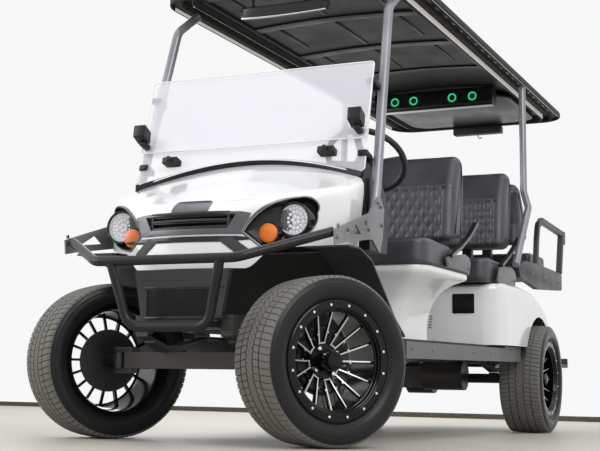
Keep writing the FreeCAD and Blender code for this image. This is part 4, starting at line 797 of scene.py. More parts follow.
def build_nose_trim():
    """Graphite band with the dark slot and its bars, the strip below, inserts and a blank plate."""
    for side in (1, -1):
        pieces = build_lamp_recess(side)
        if side == 1:
            for piece, node in zip(pieces, ("lamp_trays", "headlamps", "turn_lamps")):
                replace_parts(piece, node)
    # the band runs between the two leaf rims; the slot is open in its middle
    nose_sheet("band_top", [(-196, 811), (196, 811)], SLOT_TOP, 3.5, 8, GRAPHITE)
    nose_sheet("band_low", SLOT_LOW, [(-205, 731), (205, 731)], 3.5, 8, GRAPHITE)
    for side in (1, -1):
        upper = [(side * 182, 802), (side * 196, 811), (side * 232, 806)]
        lower = [(side * 154, 752), (side * 170, 736), (side * 205, 731)]
        nose_sheet(f"band_cheek_{side}", upper, lower, 3.5, 8, GRAPHITE, columns=12, rows=12)
    # dark insert: a sloping back and three bars
    nose_sheet("slot_back", [(-184, 804), (184, 804)], [(-156, 750), (156, 750)], -34, 3,
               BLACK_PLASTIC)
    for name, high, low, out in (("slot_lip", 757, 752, -1), ("slot_bar", 784, 776, -8),
                                 ("slot_shelf", 803, 799, -4)):
        half = 154 + 28 * (high - 752) / 50
        nose_sheet(name, [(-half, high), (half, high)], [(-half + 3, low), (half - 3, low)], out,
                   26, BLACK_GLOSS)
    # dark strip under the band, widest in the middle
    nose_sheet("lower_strip", [(-300, 722), (-200, 725), (190, 725), (262, 716)],
               [(-300, 716), (-200, 706), (165, 704), (190, 708)], 2.5, 6, BLACK_GLOSS)
    for side in (1, -1):
        nose_sheet(f"knurled_insert_{side}", [(side * 121, 712), (side * 165, 725)],
                   [(side * 192, 658), (side * 235, 672)], 3, 8, KNURLED, columns=10, rows=16)
    # blank plate: its lettering is left out
    nose_sheet("blank_plate", [(-76, 849), (-70, 857), (68, 857), (74, 849)],
               [(-77, 820), (-71, 812), (68, 812), (74, 820)], 3, 5, GRAPHITE, columns=24, rows=8)


# Wheels

PITCHES = 78
TREAD_RADIUS = 270           # the rubber of the tread begins here
WHEEL_TURN = math.pi / 16    # the spokes' angle in the photograph


def wheel_place(joint, side):
    """A wheel's own frame: X outwards, Z up, in millimetres."""
    axis = Vector(JOINTS[joint]["axis"]).normalized() * side
    along = Vector((0, 0, 1)).cross(axis).normalized()
    place = Matrix((axis, along, axis.cross(along))).transposed().to_4x4()
    return Matrix.Translation(JOINTS[joint]["pos_m"]) @ place @ Matrix.Scale(MM, 4)


def dish(radius):
    """How far the spokes' faces lie in from the flat, sloping in towards the hub."""
    return -19 - 45 * (166 - radius) / 102


def tread_columns():
    """Across the tyre: (x, radius, groove depth, sipe depth)."""
    columns = [(x, radius, 0, 0) for x, radius in (
        (-95, 196), (-98, 208), (-104, 214), (-112, 222), (-115.5, 233), (-117, 245), (-116, 256),
        (-114.5, 262), (-114.8, 263.5), (-113.5, 264.5), (-111, 272))]
    columns += [(-107.5, 279, 0, 2.5), (-103, 285, 0, 5.0)]
    # x, groove, sipe
    half = ((-98, 0, 6), (-84, 0, 6), (-70, 0, 6), (-61, 0, 5.5), (-59.5, 7, 7), (-54, 7, 7),
            (-52.5, 0, 4), (-45, 0, 4), (-37, 0, 5), (-29, 0, 5), (-24.5, 0, 5), (-23, 7, 7),
            (-17.5, 7, 7), (-16, 0, 5), (-11, 0, 5), (-6, 0, 3), (0, 0, 1.5))
    columns += [(x, 292 - 3.6 * (x / 98) ** 2, groove, sipe) for x, groove, sipe in half]
    return columns + [(-x, radius, groove, sipe)
                      for x, radius, groove, sipe in reversed(columns[:-1])]


def build_tyre(name, joint, side, body, node):
    """Tread of ribs cut by slanted sipes, shoulder blocks and ringed sidewalls."""
    place = wheel_place(joint, side)
    columns = tread_columns()
    # rows of a pitch: (where in it, 1 where a sipe cuts)
    rows = [(number + part, cut) for number in range(PITCHES)
            for part, cut in ((0.0, 0), (0.035, 1), (0.115, 1), (0.15, 0), (0.6, 0))]
    verts = []
    for spot, cut in rows:
        for x, radius, groove, sipe in columns:
            # the sipes slant, and swap their lean from rib to rib
            lean = 0.5 * (abs(x) - 20) / 80 if abs(x) > 22 else 0.9 * x / 22
            verts.append(place @ polar(x, radius - max(groove, sipe * cut),
                                       2 * math.pi * (spot + lean) / PITCHES))
    count = len(columns)
    faces = grid_faces(len(rows), count, wrap_rows=True)
    # an inner wall closes the carcass at the beads
    inside = len(verts)
    verts += [place @ polar(x, 193, turn) for turn in turns(len(rows)) for x in (-88, 88)]
    for k in range(len(rows)):
        after = (k + 1) % len(rows)
        low, high = inside + k * 2, inside + after * 2
        faces += [(k * count, after * count, high, low),
                  (k * count + count - 1, low + 1, high + 1, after * count + count - 1),
                  (low, high, high + 1, low + 1)]
    tread = [k for k, (a, b) in enumerate(zip(columns, columns[1:]))
             if a[1] > TREAD_RADIUS and abs(a[0] + b[0]) < 216]
    strips = count - 1

    def on_side(number):
        return number >= len(rows) * strips or number % strips not in tread

    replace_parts(add_piece(name, verts, faces, TYRE, body, smooth=28, second=(SIDEWALL, on_side)),
                node)
    # ring of moulding marks on the sidewall, without lettering
    gathered(name + "_marks", [solid("rib", formed_cube(
        lambda x, y, z: polar(x * 2 + 111.4 + y * 8 * 0.32, y * 8 + 222.5, turn, z * 1.6)),
        SIDEWALL, body, place) for turn in turns(120)])


def build_rim(name, joint, side, body, node):
    """Black barrel and lip ring, machined spoke edges in U pairs, bolts, nuts and cap."""
    place = wheel_place(joint, side)
    barrel = lathe(name + "_barrel", [
        (95.5, 191), (95.5, 206), (98, 207.5), (102, 206), (104, 202), (104, 180), (102.5, 177),
        (97, 175.5), (95, 172), (86, 169), (84, 165.5), (78, 165.5), (74, 172), (60, 177),
        (-80, 184), (-100, 192), (-104, 204), (-100, 207), (-95.5, 206), (-95.5, 191)],
        place, RIM_BLACK, body, 128, closed=True, smooth=25)
    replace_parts(barrel, node)
    # drum and backing seen between the spokes
    lathe(name + "_drum", [(1.5, 0), (1.5, 110), (9, 112), (15, 106), (4, 64), (3, 0)], place,
          CHASSIS, body, 64)
    spokes = [spoke_bar("spoke", 56, 178, 9.5, 66, 80.6, turn + WHEEL_TURN, place, RIM_BLACK, body)
              for turn in turns(16, 0.5)]
    # pads between the U pairs: (along, across)
    pad = [(56, -13.5), (74, -10), (92, -8), (96, 0), (92, 8), (74, 10), (56, 13.5)]
    count = len(pad)
    for turn in turns(8, 0.5):
        work = bmesh.new()
        corners = [work.verts.new(polar(x + dish(along), along, turn + WHEEL_TURN, across))
                   for x in (64, 79) for along, across in pad]
        work.faces.new(corners[:count])
        work.faces.new(reversed(corners[count:]))
        for n in range(count):
            after = (n + 1) % count
            work.faces.new((corners[n], corners[after], corners[count + after], corners[count + n]))
        ease_edges(work, 1.6)
        spokes.append(solid("pad", work, RIM_BLACK, body, place))
    gathered(name + "_spokes", spokes)
    lathe(name + "_hub", [(2, 0), (2, 62), (11, 62), (14, 59), (14, 42), (12, 40), (12, 0)], place,
          RIM_BLACK, body, 64)
    # machined faces: two legs and a base for each U
    legs = []
    for turn in turns(8, 0.25):
        for lean in (-1, 1):
            for bar, start, end, width, low, high, shift in (
                    ("leg", 63.5, 166, 5.0, 80, 82.0, -1.6),
                    ("nub", 95, 101, 9.5, 79.8, 81.7, 1.2)):
                legs.append(spoke_bar(bar, start, end, width, low, high, turn + lean * math.pi / 16,
                                      place, MACHINED, body, lean * shift))
        legs.append(arc_bar(60.5, 65.5, turn, math.pi / 8 * 0.56, 79 + dish(63), 82.0 + dish(63),
                            place, body))
    gathered(name + "_machined", legs)
    fixings = []
    for fixing, profile, angles, x, radius, count, smooth in (
            ("bolt", [(-1, 5.2), (1.2, 5.0), (2.4, 3.6), (2.6, 0)], turns(16, 0.5), 104, 190, 12,
             35),
            ("nut", [(-1, 9.5), (16, 9.5), (19, 7.5), (20, 0)], turns(4, 35 / 90), 12, 51, 6, 20)):
        fixings += [lathe(fixing, profile, place @ Matrix.Translation(polar(x, radius, turn)),
                          CHROME, body, count, smooth=smooth) for turn in angles]
    gathered(name + "_bolts", fixings)
    lathe(name + "_cap", [(8, 0), (8, 35), (64, 34), (76, 33), (82, 30), (84, 22), (86.5, 20),
                          (87, 0)], place, RIM_BLACK, body, 48)


def spoke_bar(name, start, end, width, low, high, turn, place, material, body, shift=0.0):
    """A radial bar on the wheel's face between two radii."""
    def form(x, y, z):
        along = (start + end) / 2 + y * (end - start)
        return polar((low + high) / 2 + x * (high - low) + dish(along), along, turn,
                     z * width + shift)
    return solid(name, formed_cube(form, min(width, high - low) * 0.22), material, body, place)


def arc_bar(inner, outer, middle, half, low, high, place, body):
    """A machined bar round the hub that joins two legs."""
    steps = 8
    section = ((low, inner), (high, inner + 0.8), (high, outer - 0.8), (low, outer))
    verts = [place @ polar(x, radius, middle + half * (2 * k / steps - 1))
             for k in range(steps + 1) for x, radius in section]
    return add_piece("base", verts, tube_faces(steps + 1, len(section)), MACHINED, body)


def build_wheels():
    """Tyre and rim of the four wheels, each on its own body."""
    for corner, side in (("front_left", 1), ("front_right", -1), ("rear_left", 1),
                         ("rear_right", -1)):
        where = f"spin_{corner}", side, f"wheel_{corner}"
        build_tyre(f"tread_{corner}", *where, f"tyre_{corner}")
        build_rim(f"wheel_{corner}", *where, f"rim_{corner}")


# Seats

SEAT_HALF, REAR_SEAT_HALF = 530, 505


def cushion(name, profile, half, end_round, body, node, relief, shift=None, columns=110):
    """A padded block: a rounded side profile of (station, height) carried across with soft ends.

    relief(x, share, normal) is the lift of the skin in millimetres; share runs round the profile.
    """
    count = len(profile)
    area = sum(a[0] * b[1] - b[0] * a[1] for a, b in zip(profile[-1:] + profile, profile))
    outward = 1 if area >= 0 else -1
    normals = []
    for k in range(count):
        along = (Vector(profile[(k + 1) % count]) - Vector(profile[k - 1])).normalized()
        normals.append(Vector((along.y, -along.x)) * outward)
    inner = half - end_round
    xs = [-inner + 2 * inner * k / columns for k in range(columns + 1)]
    caps = [inner + end_round * math.sin(math.pi / 2 * k / 6) for k in range(1, 7)]
    xs = [-x for x in reversed(caps)] + xs + caps
    verts = []
    for x in xs:
        over = max(0.0, abs(x) - inner)
        inset = end_round - math.sqrt(max(0.0, end_round ** 2 - over ** 2))
        for k, (station, height) in enumerate(profile):
            lift = -inset
            if over < end_round * 0.98:
                lift += relief(x, k / count, normals[k])
            point = Vector((x, station + normals[k].x * lift, height + normals[k].y * lift))
            verts.append(LEVEL @ (shift(point) if shift else point))
    piece = add_piece(name, verts, tube_faces(len(xs), count), LEATHER, body, smooth=70)
    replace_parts(piece, node)


def seam(value, width=3.0, depth=3.0):
    """A stitched groove at zero."""
    return -depth * math.exp(-(value / width) ** 2)


def quilt(a, b, pitch, rise):
    """Diamond quilting with stitched valleys."""
    u = abs(math.sin(math.pi * (a + b) / pitch))
    v = abs(math.sin(math.pi * (a - b) / pitch))
    return rise * (min(u, v) ** 0.55) - rise * 0.6


def build_seat(row, back, rise, lead, trim):
    """A forward-facing cushion and its backrest, from the row's line in the table of rows."""
    front, foot, corner = 880 + back, 700.3, 62
    rear = front + 394 - trim
    outline = [(front, foot), (front, foot + 116), (front + 60, foot + 128), (rear, foot + 118),
               (rear, foot)]
    profile = resampled(rounded_outline(outline, 26), 96, closed=True)

    def round_corners(point):
        over = max(0.0, abs(point.x) - (SEAT_HALF - corner))
        away = corner - math.sqrt(max(0.0, corner ** 2 - over ** 2))
        point.y += away * max(0.0, 1 - (point.y - front) / 200)
        return point

    def relief(x, share, normal):
        station, height = profile[int(share * len(profile)) % len(profile)]
        lift = 1.5 * noise.noise(Vector((x * 0.012, station * 0.02, height * 0.03)))
        if normal.y > 0.4:
            lift += seam(abs(x) - 352, 3.5, 4) + 3.0 * smoothstep(350 - abs(x), 0, 60) - 3.0
            lift += seam(station - front - 62, 3.5, 3.5)
            lift += 3.0 * math.cos(x / 352 * math.pi) * (abs(x) < 352)
        elif normal.x < -0.4:
            lift += seam(height - foot - 92, 3, 3.5) + seam(abs(x) - 352, 3.5, 3)
        return min(lift, 0.0)

    cushion(f"{row}_seat_pad", profile, SEAT_HALF, 24, f"{row}_seat_lid", f"{row}_cushion", relief,
            round_corners)
    build_backrest(f"{row}_backrest", [(front - lead + s, foot + rise + z) for s, z in (
        (400, 140), (430, 382), (507, 535), (552, 554), (596, 520), (606, 388), (578, 187),
        (550, 140))], SEAT_HALF, f"{row}_back", -1)


def build_seats():
    """The two forward-facing rows, then the rear-facing one."""
    # row, its shift back, the backrest's rise and lead, cut off the cushion's depth
    for row in (("front", 0, 0, 0, 0), ("middle", 980, 60, 84, 50)):
        build_seat(*row)
    outline = [(2885, 838.3), (2885, 934), (2950, 942), (3230, 942), (3255, 930), (3255, 838.3)]

    def relief(x, share, normal):
        lift = 1.2 * noise.noise(Vector((x * 0.012, share * 9, 3)))
        return min(0.0, lift + seam(abs(x) - 340, 3.5, 4) if normal.y > 0.4 else lift)

    cushion("rear_seat_pad", resampled(rounded_outline(outline, 24), 80, closed=True),
            REAR_SEAT_HALF, 22, "rear_seat_lid", "rear_cushion", relief)
    build_backrest("rear_backrest", [
        (2610, 962), (2630, 1078), (2610, 1168), (2572, 1250), (2622, 1300), (2680, 1288),
        (2772, 1180), (2844, 1078), (2830, 985), (2700, 962)], REAR_SEAT_HALF, "rear_back", 1)


def build_backrest(name, points, half, node, facing_sign):
    """Backrest with smooth header and side bolsters round a diamond-quilted panel."""
    profile = resampled(rounded_outline(points, 36), 150, closed=True)
    low, high = min(height for _, height in profile), max(height for _, height in profile)
    header, panel = high - 0.375 * (high - low), half - 62
    lengths = [0.0]
    for a, b in zip(profile, profile[1:]):
        lengths.append(lengths[-1] + math.dist(a, b))

    def relief(x, share, normal):
        k = int(share * len(profile)) % len(profile)
        height = profile[k][1]
        lift = 1.5 * noise.noise(Vector((x * 0.011, lengths[k] * 0.015, half * 0.1)))
        if normal.x * facing_sign > 0.25 and height < header + 4:
            lift += seam(abs(x) - panel, 4, 6) + seam(height - header, 4, 5)
            inside = abs(x) < panel and height < header
            lift += quilt(x * 1.75, lengths[k], 80, 8) - 3 if inside else -1
        elif normal.x * facing_sign < -0.25:
            lift += seam(height - (high - 60), 3.5, 3)
        return min(lift, 0.0)

    cushion(name, profile, half, 44, "chassis", node, relief, columns=150)


# Roof

ROOF_HALF, ROOF_FOOT, ROOF_FRONT, ROOF_REAR, ROOF_CORNER = 563.0, 1845.0, 500.0, 3635.0, 150.0


def roof_top(x):
    """The crown's height over the roof's foot."""
    return 34 + 32 * (1 - (x / ROOF_HALF) ** 2)


def roof_section():
    """Closed section of (x, height over the foot, 1 where the hollow underneath lifts it)."""
    top = [(x, roof_top(x), 0) for x in range(-540, 541, 45)]
    edge = [(552, 34, 0), (559, 31, 0), (562.5, 25, 0), (563, 6, 0), (561, 1, 0), (557, 0, 0),
            (554, 1, 0), (553, 16, 1), (505, 16, 1), (503, 0, 0), (500, 0, 0), (498, 30, 1),
            (450, 30, 1), (448, 1, 0), (446, 0, 0), (440, 0, 0), (434, 30, 1), (420, 46, 1)]
    under = [(x, roof_top(x) - 9, 1) for x in range(400, -401, -50)]
    return top + edge + under + [(-x, height, lifted) for x, height, lifted in reversed(edge)]


def build_roof():
    """Black moulded roof: crowned skin, slotted side rails, pale strips with a painted glow and a
    ribbed lining.
    """
    section = roof_section()
    near = [0, 2, 6, 12, 20, 26, 40, 60, 85, 115, 150]
    stations = ([ROOF_FRONT + d for d in near]
                + [ROOF_FRONT + 150 + 236.25 * k for k in range(1, 12)]
                + [ROOF_REAR - d for d in reversed(near)])
    verts = []
    for station in stations:
        d = min(station - ROOF_FRONT, ROOF_REAR - station)
        gap = ROOF_CORNER - min(d, ROOF_CORNER)
        half = ROOF_HALF - ROOF_CORNER + math.sqrt(ROOF_CORNER ** 2 - gap ** 2)
        crown = 0.55 + 0.45 * math.sqrt(min(1, d / 26) * (2 - min(1, d / 26)))
        hollow = smoothstep(d, 20, 40)
        verts += [level(x * half / ROOF_HALF, station,
                        ROOF_FOOT + height * (hollow if lifted else crown))
                  for x, height, lifted in section]
    add_piece("roof_shell", verts, tube_faces(len(stations), len(section)), ROOF_SKIN, smooth=32,
              replaces=("roof",))
    # moulded lining between the rails
    verts = [level(x, 552 + 3030 * k / 24, ROOF_FOOT + roof_top(x) - 12)
             for k in range(25) for x in range(-410, 411, 41)]
    add_piece("roof_lining", verts, grid_faces(25, 21), LINING)
    beams = []
    for station in (640, 1170, 1700, 2230):
        path = [(x, station, ROOF_FOOT + roof_top(x) - 16) for x in range(-425, 426, 50)]
        beams.append(sweep("beam", path, rounded_outline(
            [(-36, -4), (36, -4), (26, 4), (-26, 4)], 2), BLACK_SATIN))
        for x, length in ((-310, 330), (-20, 400), (300, 330)) if station < 2000 else ():
            low = ROOF_FOOT + roof_top(x) - 18
            beams.append(block("ridge", (x - 7, station + 60, low),
                               (x + 7, station + 60 + length, low + 8), BLACK_SATIN, 3))
    for x in (-415, 415):
        beams.append(block("runner", (x - 12, 640, ROOF_FOOT + 24), (x + 12, 3500, ROOF_FOOT + 38),
                           BLACK_SATIN, 4))
    gathered("roof_beams", beams)
    tray = rounded_outline([(-400, 2790), (400, 2790), (400, 3560), (-400, 3560)], 120, 8)
    plate("roof_tray", tray, lambda a, b, c: (a, b, ROOF_FOOT + c), 2, 22, BLACK_SATIN, bevel=5)
    # pale strips with a painted glow, inside each rail and along each edge: x, front, rear, low,
    # high
    strips = ((449.5, 620, 3510, 2, 28), (552, 640, 3490, 1.5, 15))
    blocks("roof_strips", [((side * x - 1.5, front, ROOF_FOOT + low),
                            (side * x + 1.5, rear, ROOF_FOOT + high))
                           for side in (1, -1) for x, front, rear, low, high in strips],
           PALE_STRIP_GLOW, 0.8)
    blocks("rail_slots", [((side * 520 - 5, station, ROOF_FOOT + 13),
                           (side * 520 + 5, station + 46, ROOF_FOOT + 16))
                          for side in (1, -1) for station in range(700, 3305, 124)],
           GREY_METAL, 1.5)


def build_sound_bar():
    """Rounded bar with four green-ringed speakers, and the small box with a hook at the rear."""
    middle = 2690
    outline = rounded_outline([(middle - 47, 1768), (middle + 47, 1772), (middle + 40, 1884),
                               (middle - 44, 1876)], 18, 6)
    plate("sound_bar", outline, sideways(1), -352, 352, BLACK_GLOSS, bevel=2,
          replaces=("roof_fittings",))
    wider = [(a + (a - middle) * 0.06, b + (b - 1826) * 0.05) for a, b in outline]
    gathered("sound_bar_caps", [plate("cap", wider, sideways(1), low, high, BLACK_SATIN, bevel=2)
                                for low, high in ((-357, -349), (349, 357))])
    places = [facing(x, middle - 46.5, 1824) for x in (-228, -113, 120, 240)]
    ring = [(1 + a, 21 + b) for a, b in circle(4.2, 12)]
    gathered("speaker_lights", [lathe("ring", ring, place, GREEN_LIGHT, count=48, closed=True)
                                for place in places])
    cone = [(1, 32), (3, 31), (4, 27), (0, 25), (0, 17), (-6, 12), (-8, 7), (-4, 4), (-3, 0)]
    gathered("speaker_cones", [lathe("cone", cone, place, BLACK_SATIN, count=48)
                               for place in places])
    blocks("sound_bar_fins", [((x - 1, middle - 49, 1786), (x + 1, middle - 45, 1862))
                              for x in range(-54, 66, 8)], BLACK_SATIN, 0.5)
    outline = rounded_outline([(-160, 1797), (160, 1797), (160, 1845), (-160, 1845)], 8)
    plate("roof_box", outline, lambda a, b, c: (a, c, b), 3590, 3650, BLACK_PLASTIC, bevel=3)
    hook = [(0, 3620, 1797), (0, 3620, 1782), (8, 3618, 1772), (20, 3616, 1770), (27, 3616, 1778)]
    sweep("roof_hook", rounded_path(hook, 8), circle(3.2, 10), GREY_METAL, up=(0, 1, 0))


def build_mirror():
    """Wide bowed mirror: glossy housing in front, glass behind, two knobs up to the roof."""
    path = [(x, 606 - 12 * (1 - (x / 200) ** 2), 1772 + 9 * (x / 200) ** 2)
            for x in range(-196, 197, 14)]
    housing = rounded_outline([(-13, -24), (6, -27), (6, 27), (-13, 24)], 7)
    # name, shift back and up, section, material, node
    for name, back, rise, section, material, replaced in (
            ("mirror_housing", 0, 0, [(-a, b) for a, b in housing], BLACK_GLOSS, ("mirror",)),
            ("mirror_lip", -9, -24, circle(4.5, 12), MIRROR, ()),
            ("mirror_face", 11.5, 0, bar_section(2, 22, 1.5), MIRROR, ())):
        sweep(name, [(x, station + back, height + rise) for x, station, height in path], section,
              material, replaces=replaced)
    knobs = []
    for x in (-150, 130):
        spot = LEVEL @ Matrix.Translation((x, 612, 1790)) @ Matrix.Rotation(-math.pi / 2, 4, "Y")
        knobs.append(lathe("knob", [(0, 0), (0, 12), (4, 15), (16, 15), (20, 11), (22, 6), (62, 6),
                                    (62, 0)], spot, BLACK_PLASTIC, count=24))
    for x in (-196, 196):
        spot = LEVEL @ Matrix.Translation((x, 606, 1781))
        knobs.append(lathe("end", [(-9, 0), (-9, 15), (-6, 19), (6, 19), (9, 15), (9, 0)], spot,
                           BLACK_PLASTIC, count=24))
    gathered("mirror_knobs", knobs)


# Windshield

GLASS_FOOT, GLASS_HEAD = (266, 985), (402, 1447)    # station, height
GLASS_ANGLE = math.atan2(GLASS_HEAD[0] - GLASS_FOOT[0], GLASS_HEAD[1] - GLASS_FOOT[1])
GLASS_LENGTH = math.dist(GLASS_FOOT, GLASS_HEAD)
GLASS = LEVEL @ Matrix.Translation((0, *GLASS_FOOT)) @ Matrix.Rotation(-GLASS_ANGLE, 4, "X")
FOLDED_SHARE = 0.6852    # of the lower sheet, behind the folded upper one


def build_windshield():
    """Two clear sheets with round corners and painted highlights along their edges, rubber arch
    trim, knobs and screws.
    """
    foot = GLASS_LENGTH * (1 - FOLDED_SHARE)
    arch = [(x, hood_height(x, rear_station(x)) + 12 - GLASS_FOOT[1])
            for x in range(470, -471, -47)]
    arch = [(x, up / math.cos(GLASS_ANGLE)) for x, up in arch]
    lower = [(-483, GLASS_LENGTH), (483, GLASS_LENGTH), (494, 30)] + arch + [(-494, 30)]
    upper = [(-492, foot), (492, foot), (492, GLASS_LENGTH), (-492, GLASS_LENGTH)]
    for word, outline, low, high in (("lower", lower, 0, 5), ("upper", upper, -19, -14)):
        shape = rounded_outline(outline, 14, 4)
        plate(f"{word}_sheet", shape, lambda a, b, c: (a, c, b), low, high, ACRYLIC, place=GLASS,
              replaces=(f"windshield_{word}",))
        # a near-white tube round each sheet paints the glint of its edge
        loop = [(a, (low + high) / 2, b) for a, b in shape + shape[:1]]
        sweep(f"{word}_sheet_edge_glint", loop, circle(2.7, 8), ACRYLIC_EDGE_GLINT, up=(0, 1, 0), place=GLASS)
    trim = [(x, rear_station(x) - 3, hood_height(x, rear_station(x)) + 5)
            for x in range(-488, 489, 16)]
    sweep("arch_trim", trim, rounded_outline([(-10, -9), (10, -9), (10, 14), (-10, 14)], 6),
          BLACK_SATIN)
    gathered("cowl_side_trim", [
        sweep("side_trim", [(side * 494, rear_station(494) - 2, height)
                            for height in (760, 850, 940, 985, 1003)],
              bar_section(5, 6, 3), BLACK_GLOSS, up=(0, 1, 0)) for side in (1, -1)])

    def satin_block(name, low, high):
        return block(name, low, high, BLACK_SATIN, 5, place=GLASS)

    def on_glass(x, depth, up):
        return GLASS @ Matrix.Translation((x, depth, up)) @ Matrix.Rotation(-math.pi / 2, 4, "Z")

    knobs = []
    up = foot - 48
    for x in (-340, 340):
        knobs.append(satin_block("clip", (x - 34, -40, up - 14), (x + 34, 8, up + 14)))
        knobs.append(lathe("knob", [(0, 11), (3, 13), (12, 12), (15, 9), (16, 0)],
                           on_glass(x, -39, up), BLACK_SATIN, count=24))
    for side in (1, -1):
        for up in (95, 405):
            x = side * 480
            knobs.append(satin_block("strut_clip", (x - 20, -6, up - 13), (x + 20, 60, up + 13)))
            knobs.append(lathe("screw", [(0, 8), (4, 8), (6, 6), (6.5, 0)],
                               on_glass(side * 470, -5, up), CHROME_DARK, count=20))
    # wedges on stems hold the upper sheet when it is folded down
    wedge = rounded_outline([(-42, 178), (-98, 190), (-105, 240), (-49, 229)], 5)
    for x in (468, -468):
        knobs.append(plate("wedge", wedge, sideways(1), x - 26, x + 26, BLACK_SATIN, bevel=2,
                           place=GLASS))
        knobs.append(satin_block("stem", (x - 13, -66, 166), (x + 13, 2, 188)))
    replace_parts(gathered("windshield_knobs", knobs), "windshield_clips")


# Steering wheel and dash

def build_steering():
    """Leather rim with finger ridges, three flat spokes, a capped hub and the column shroud."""
    slope = math.radians(40)
    axis, across = Vector((0, math.sin(slope), math.cos(slope))), Vector((1, 0, 0))
    place = (LEVEL @ Matrix.Translation((300, 800, 1140))
             @ Matrix((axis, across, axis.cross(across))).transposed().to_4x4())
    body = "steering_wheel"
    count, ring = 120, 20
    verts = []
    for turn in turns(count):
        for angle in turns(ring):
            thick = 13.0 - 1.6 * max(0, math.cos(turn * 30)) * max(0, -math.cos(angle))
            verts.append(place @ polar(thick * math.cos(angle), 166 + thick * math.sin(angle),
                                       turn))
    add_piece("wheel_rim", verts, grid_faces(count, ring, wrap_rows=True, wrap_columns=True), GRIP,
              body, smooth=60, replaces=("steering_wheel",))
    spokes = []
    for turn in (0, math.pi, -math.pi / 2):
        points = [polar(along, out, turn)
                  for along, out in ((-22, 0), (-20, 50), (-12, 100), (-3, 156))]
        spokes.append(sweep("spoke", points, bar_section(4, 15, 3), GREY_METAL, body,
                            up=polar(0, 0, turn, 1), place=place))
    gathered("wheel_spokes", spokes)
    lathe("wheel_hub", [(-40, 0), (-40, 40), (-30, 46), (-16, 46), (-8, 43), (-4, 34), (-2, 20),
                        (-1, 0)], place, BLACK_PLASTIC, body, 64)
    lathe("column_shroud", [(-170, 0), (-170, 44), (-120, 50), (-60, 44), (-47, 38), (-47, 0)],
          place, BLACK_PLASTIC, count=48)
    sweep("column_lever", rounded_path([(-84, -30, 20), (-84, -110, 34), (-82, -150, 40)], 30),
          circle(5, 12), BLACK_SATIN, up=(1, 0, 0), place=place)


def build_dash_details():
    """Binnacle, switch panel and cup rings on the dash, and the mesh of the lower front panel."""
    block("binnacle", (190, 450, 968), (410, 548, 1002), BLACK_PLASTIC, 12)
    gathered("dash_switches", [block("panel", (-60, 528, 790), (60, 540, 880), BLACK_GLOSS, 6)] + [
        block("switch", (x, 536, 815), (x + 24, 546, 855), BLACK_GLOSS, 3) for x in (-45, -11, 23)])
    upright = Matrix.Rotation(-math.pi / 2, 4, "Y")
    gathered("cup_rings", [lathe("ring", [(0, 40), (4, 43), (6, 46), (4, 49), (0, 50)],
                                 LEVEL @ Matrix.Translation((x, 470, 983)) @ upright,
                                 BLACK_SATIN, count=48) for x in (-235, -130, 130)])
    wires = [((x - 1.2, -213, 446), (x + 1.2, -210, 537)) for x in range(-138, 163, 12)]
    wires += [((-138, -214, 449 + 7.6 * k), (162, -211, 451 + 7.6 * k)) for k in range(12)]
    blocks("panel_mesh", wires, BLACK_SATIN, 0.6, smooth=60)
    gathered("panel_shelves", [
        block("shelf", low, high, BLACK_GLOSS, bevel) for low, high, bevel in (
            ((-146, -219, 432), (170, -209, 443), 3), ((-146, -217, 541), (170, -209, 548), 2),
            ((-178, -215, 566), (196, -209, 571), 2))])


# White body behind the dash

BODY_FOOT, BODY_TOP = 390.6, 700.0


def eased(table, value):
    """A value from a table of (key, value) pairs with smooth joins."""
    k = next((k for k in range(len(table) - 2) if value <= table[k + 1][0]), len(table) - 2)
    before, a, b = table[max(0, k - 1)], table[k], table[k + 1]
    after = table[min(len(table) - 1, k + 2)]
    span = b[0] - a[0]
    part = (value - a[0]) / span
    first, last = ((end[1] - start[1]) / (end[0] - start[0]) * span
                   for start, end in ((before, b), (a, after)))
    p2, p3 = part * part, part ** 3
    return ((2 * p3 - 3 * p2 + 1) * a[1] + (p3 - 2 * p2 + part) * first
            + (3 * p2 - 2 * p3) * b[1] + (p3 - p2) * last)


def plan_ring(half, front, rear, radius, height, steps=8):
    """A level rectangle with round corners as points, from the front left round."""
    ring = []
    for cx, cy, start in ((-half + radius, front + radius, 180),
                          (half - radius, front + radius, 270),
                          (half - radius, rear - radius, 0), (-half + radius, rear - radius, 90)):
        for k in range(steps + 1):
            turn = math.radians(start + 90 * k / steps)
            ring.append(Vector((cx + radius * math.cos(turn), cy + radius * math.sin(turn),
                                height)))
    return ring


# how far the base has swept out: at its sides, front and rear, and the share of its height
BASE_SHARES = ((0, 0, 0, 0.0), (3, -2, 4, 0.30), (26, -8, 8, 0.54), (58, -20, 26, 0.70),
               (90, -32, 78, 0.81), (112, -42, 158, 0.88), (122, -48, 206, 0.93),
               (122, -48, 206, 1.0))


def build_seat_base():
    """White shell that sweeps out under the seat, with the black gasket along its top."""
    wide, front, rear = ([(row[3], row[n]) for row in BASE_SHARES] for n in range(3))
    rows = []
    for k in range(41):
        share = k / 40
        rows.append(plan_ring(440 + eased(wide, share), 840 + eased(front, share),
                              1264 + eased(rear, share), 90,
                              BODY_FOOT + (BODY_TOP - 4 - BODY_FOOT) * share))
    for inset, height in ((1.2, BODY_TOP - 1.6), (4, BODY_TOP), (60, BODY_TOP)):
        rows.append(plan_ring(562 - inset, 792 + inset, 1470 - inset, 90 - inset, height))
    verts = [LEVEL @ point for ring in rows for point in ring]
    shell = add_piece("seat_base_shell", verts,
                      grid_faces(len(rows), len(rows[0]), wrap_columns=True),
                      WHITE, smooth=50, replaces=("seat_base",))
    bake(shell, 4)
    loop = plan_ring(563, 791, 1471, 91, 702)
    sweep("seat_gasket", loop + loop[:1], bar_section(4, 5, 2), RUBBER)
    blocks("base_vents", [((side * 444 - 2, 1205 + 4 * k, 449 + 12.5 * k),
                           (side * 444 + 2, 1233 + 4 * k, 455 + 12.5 * k))
                          for k in range(5) for side in (1, -1)], BLACK_SATIN, 1.2)


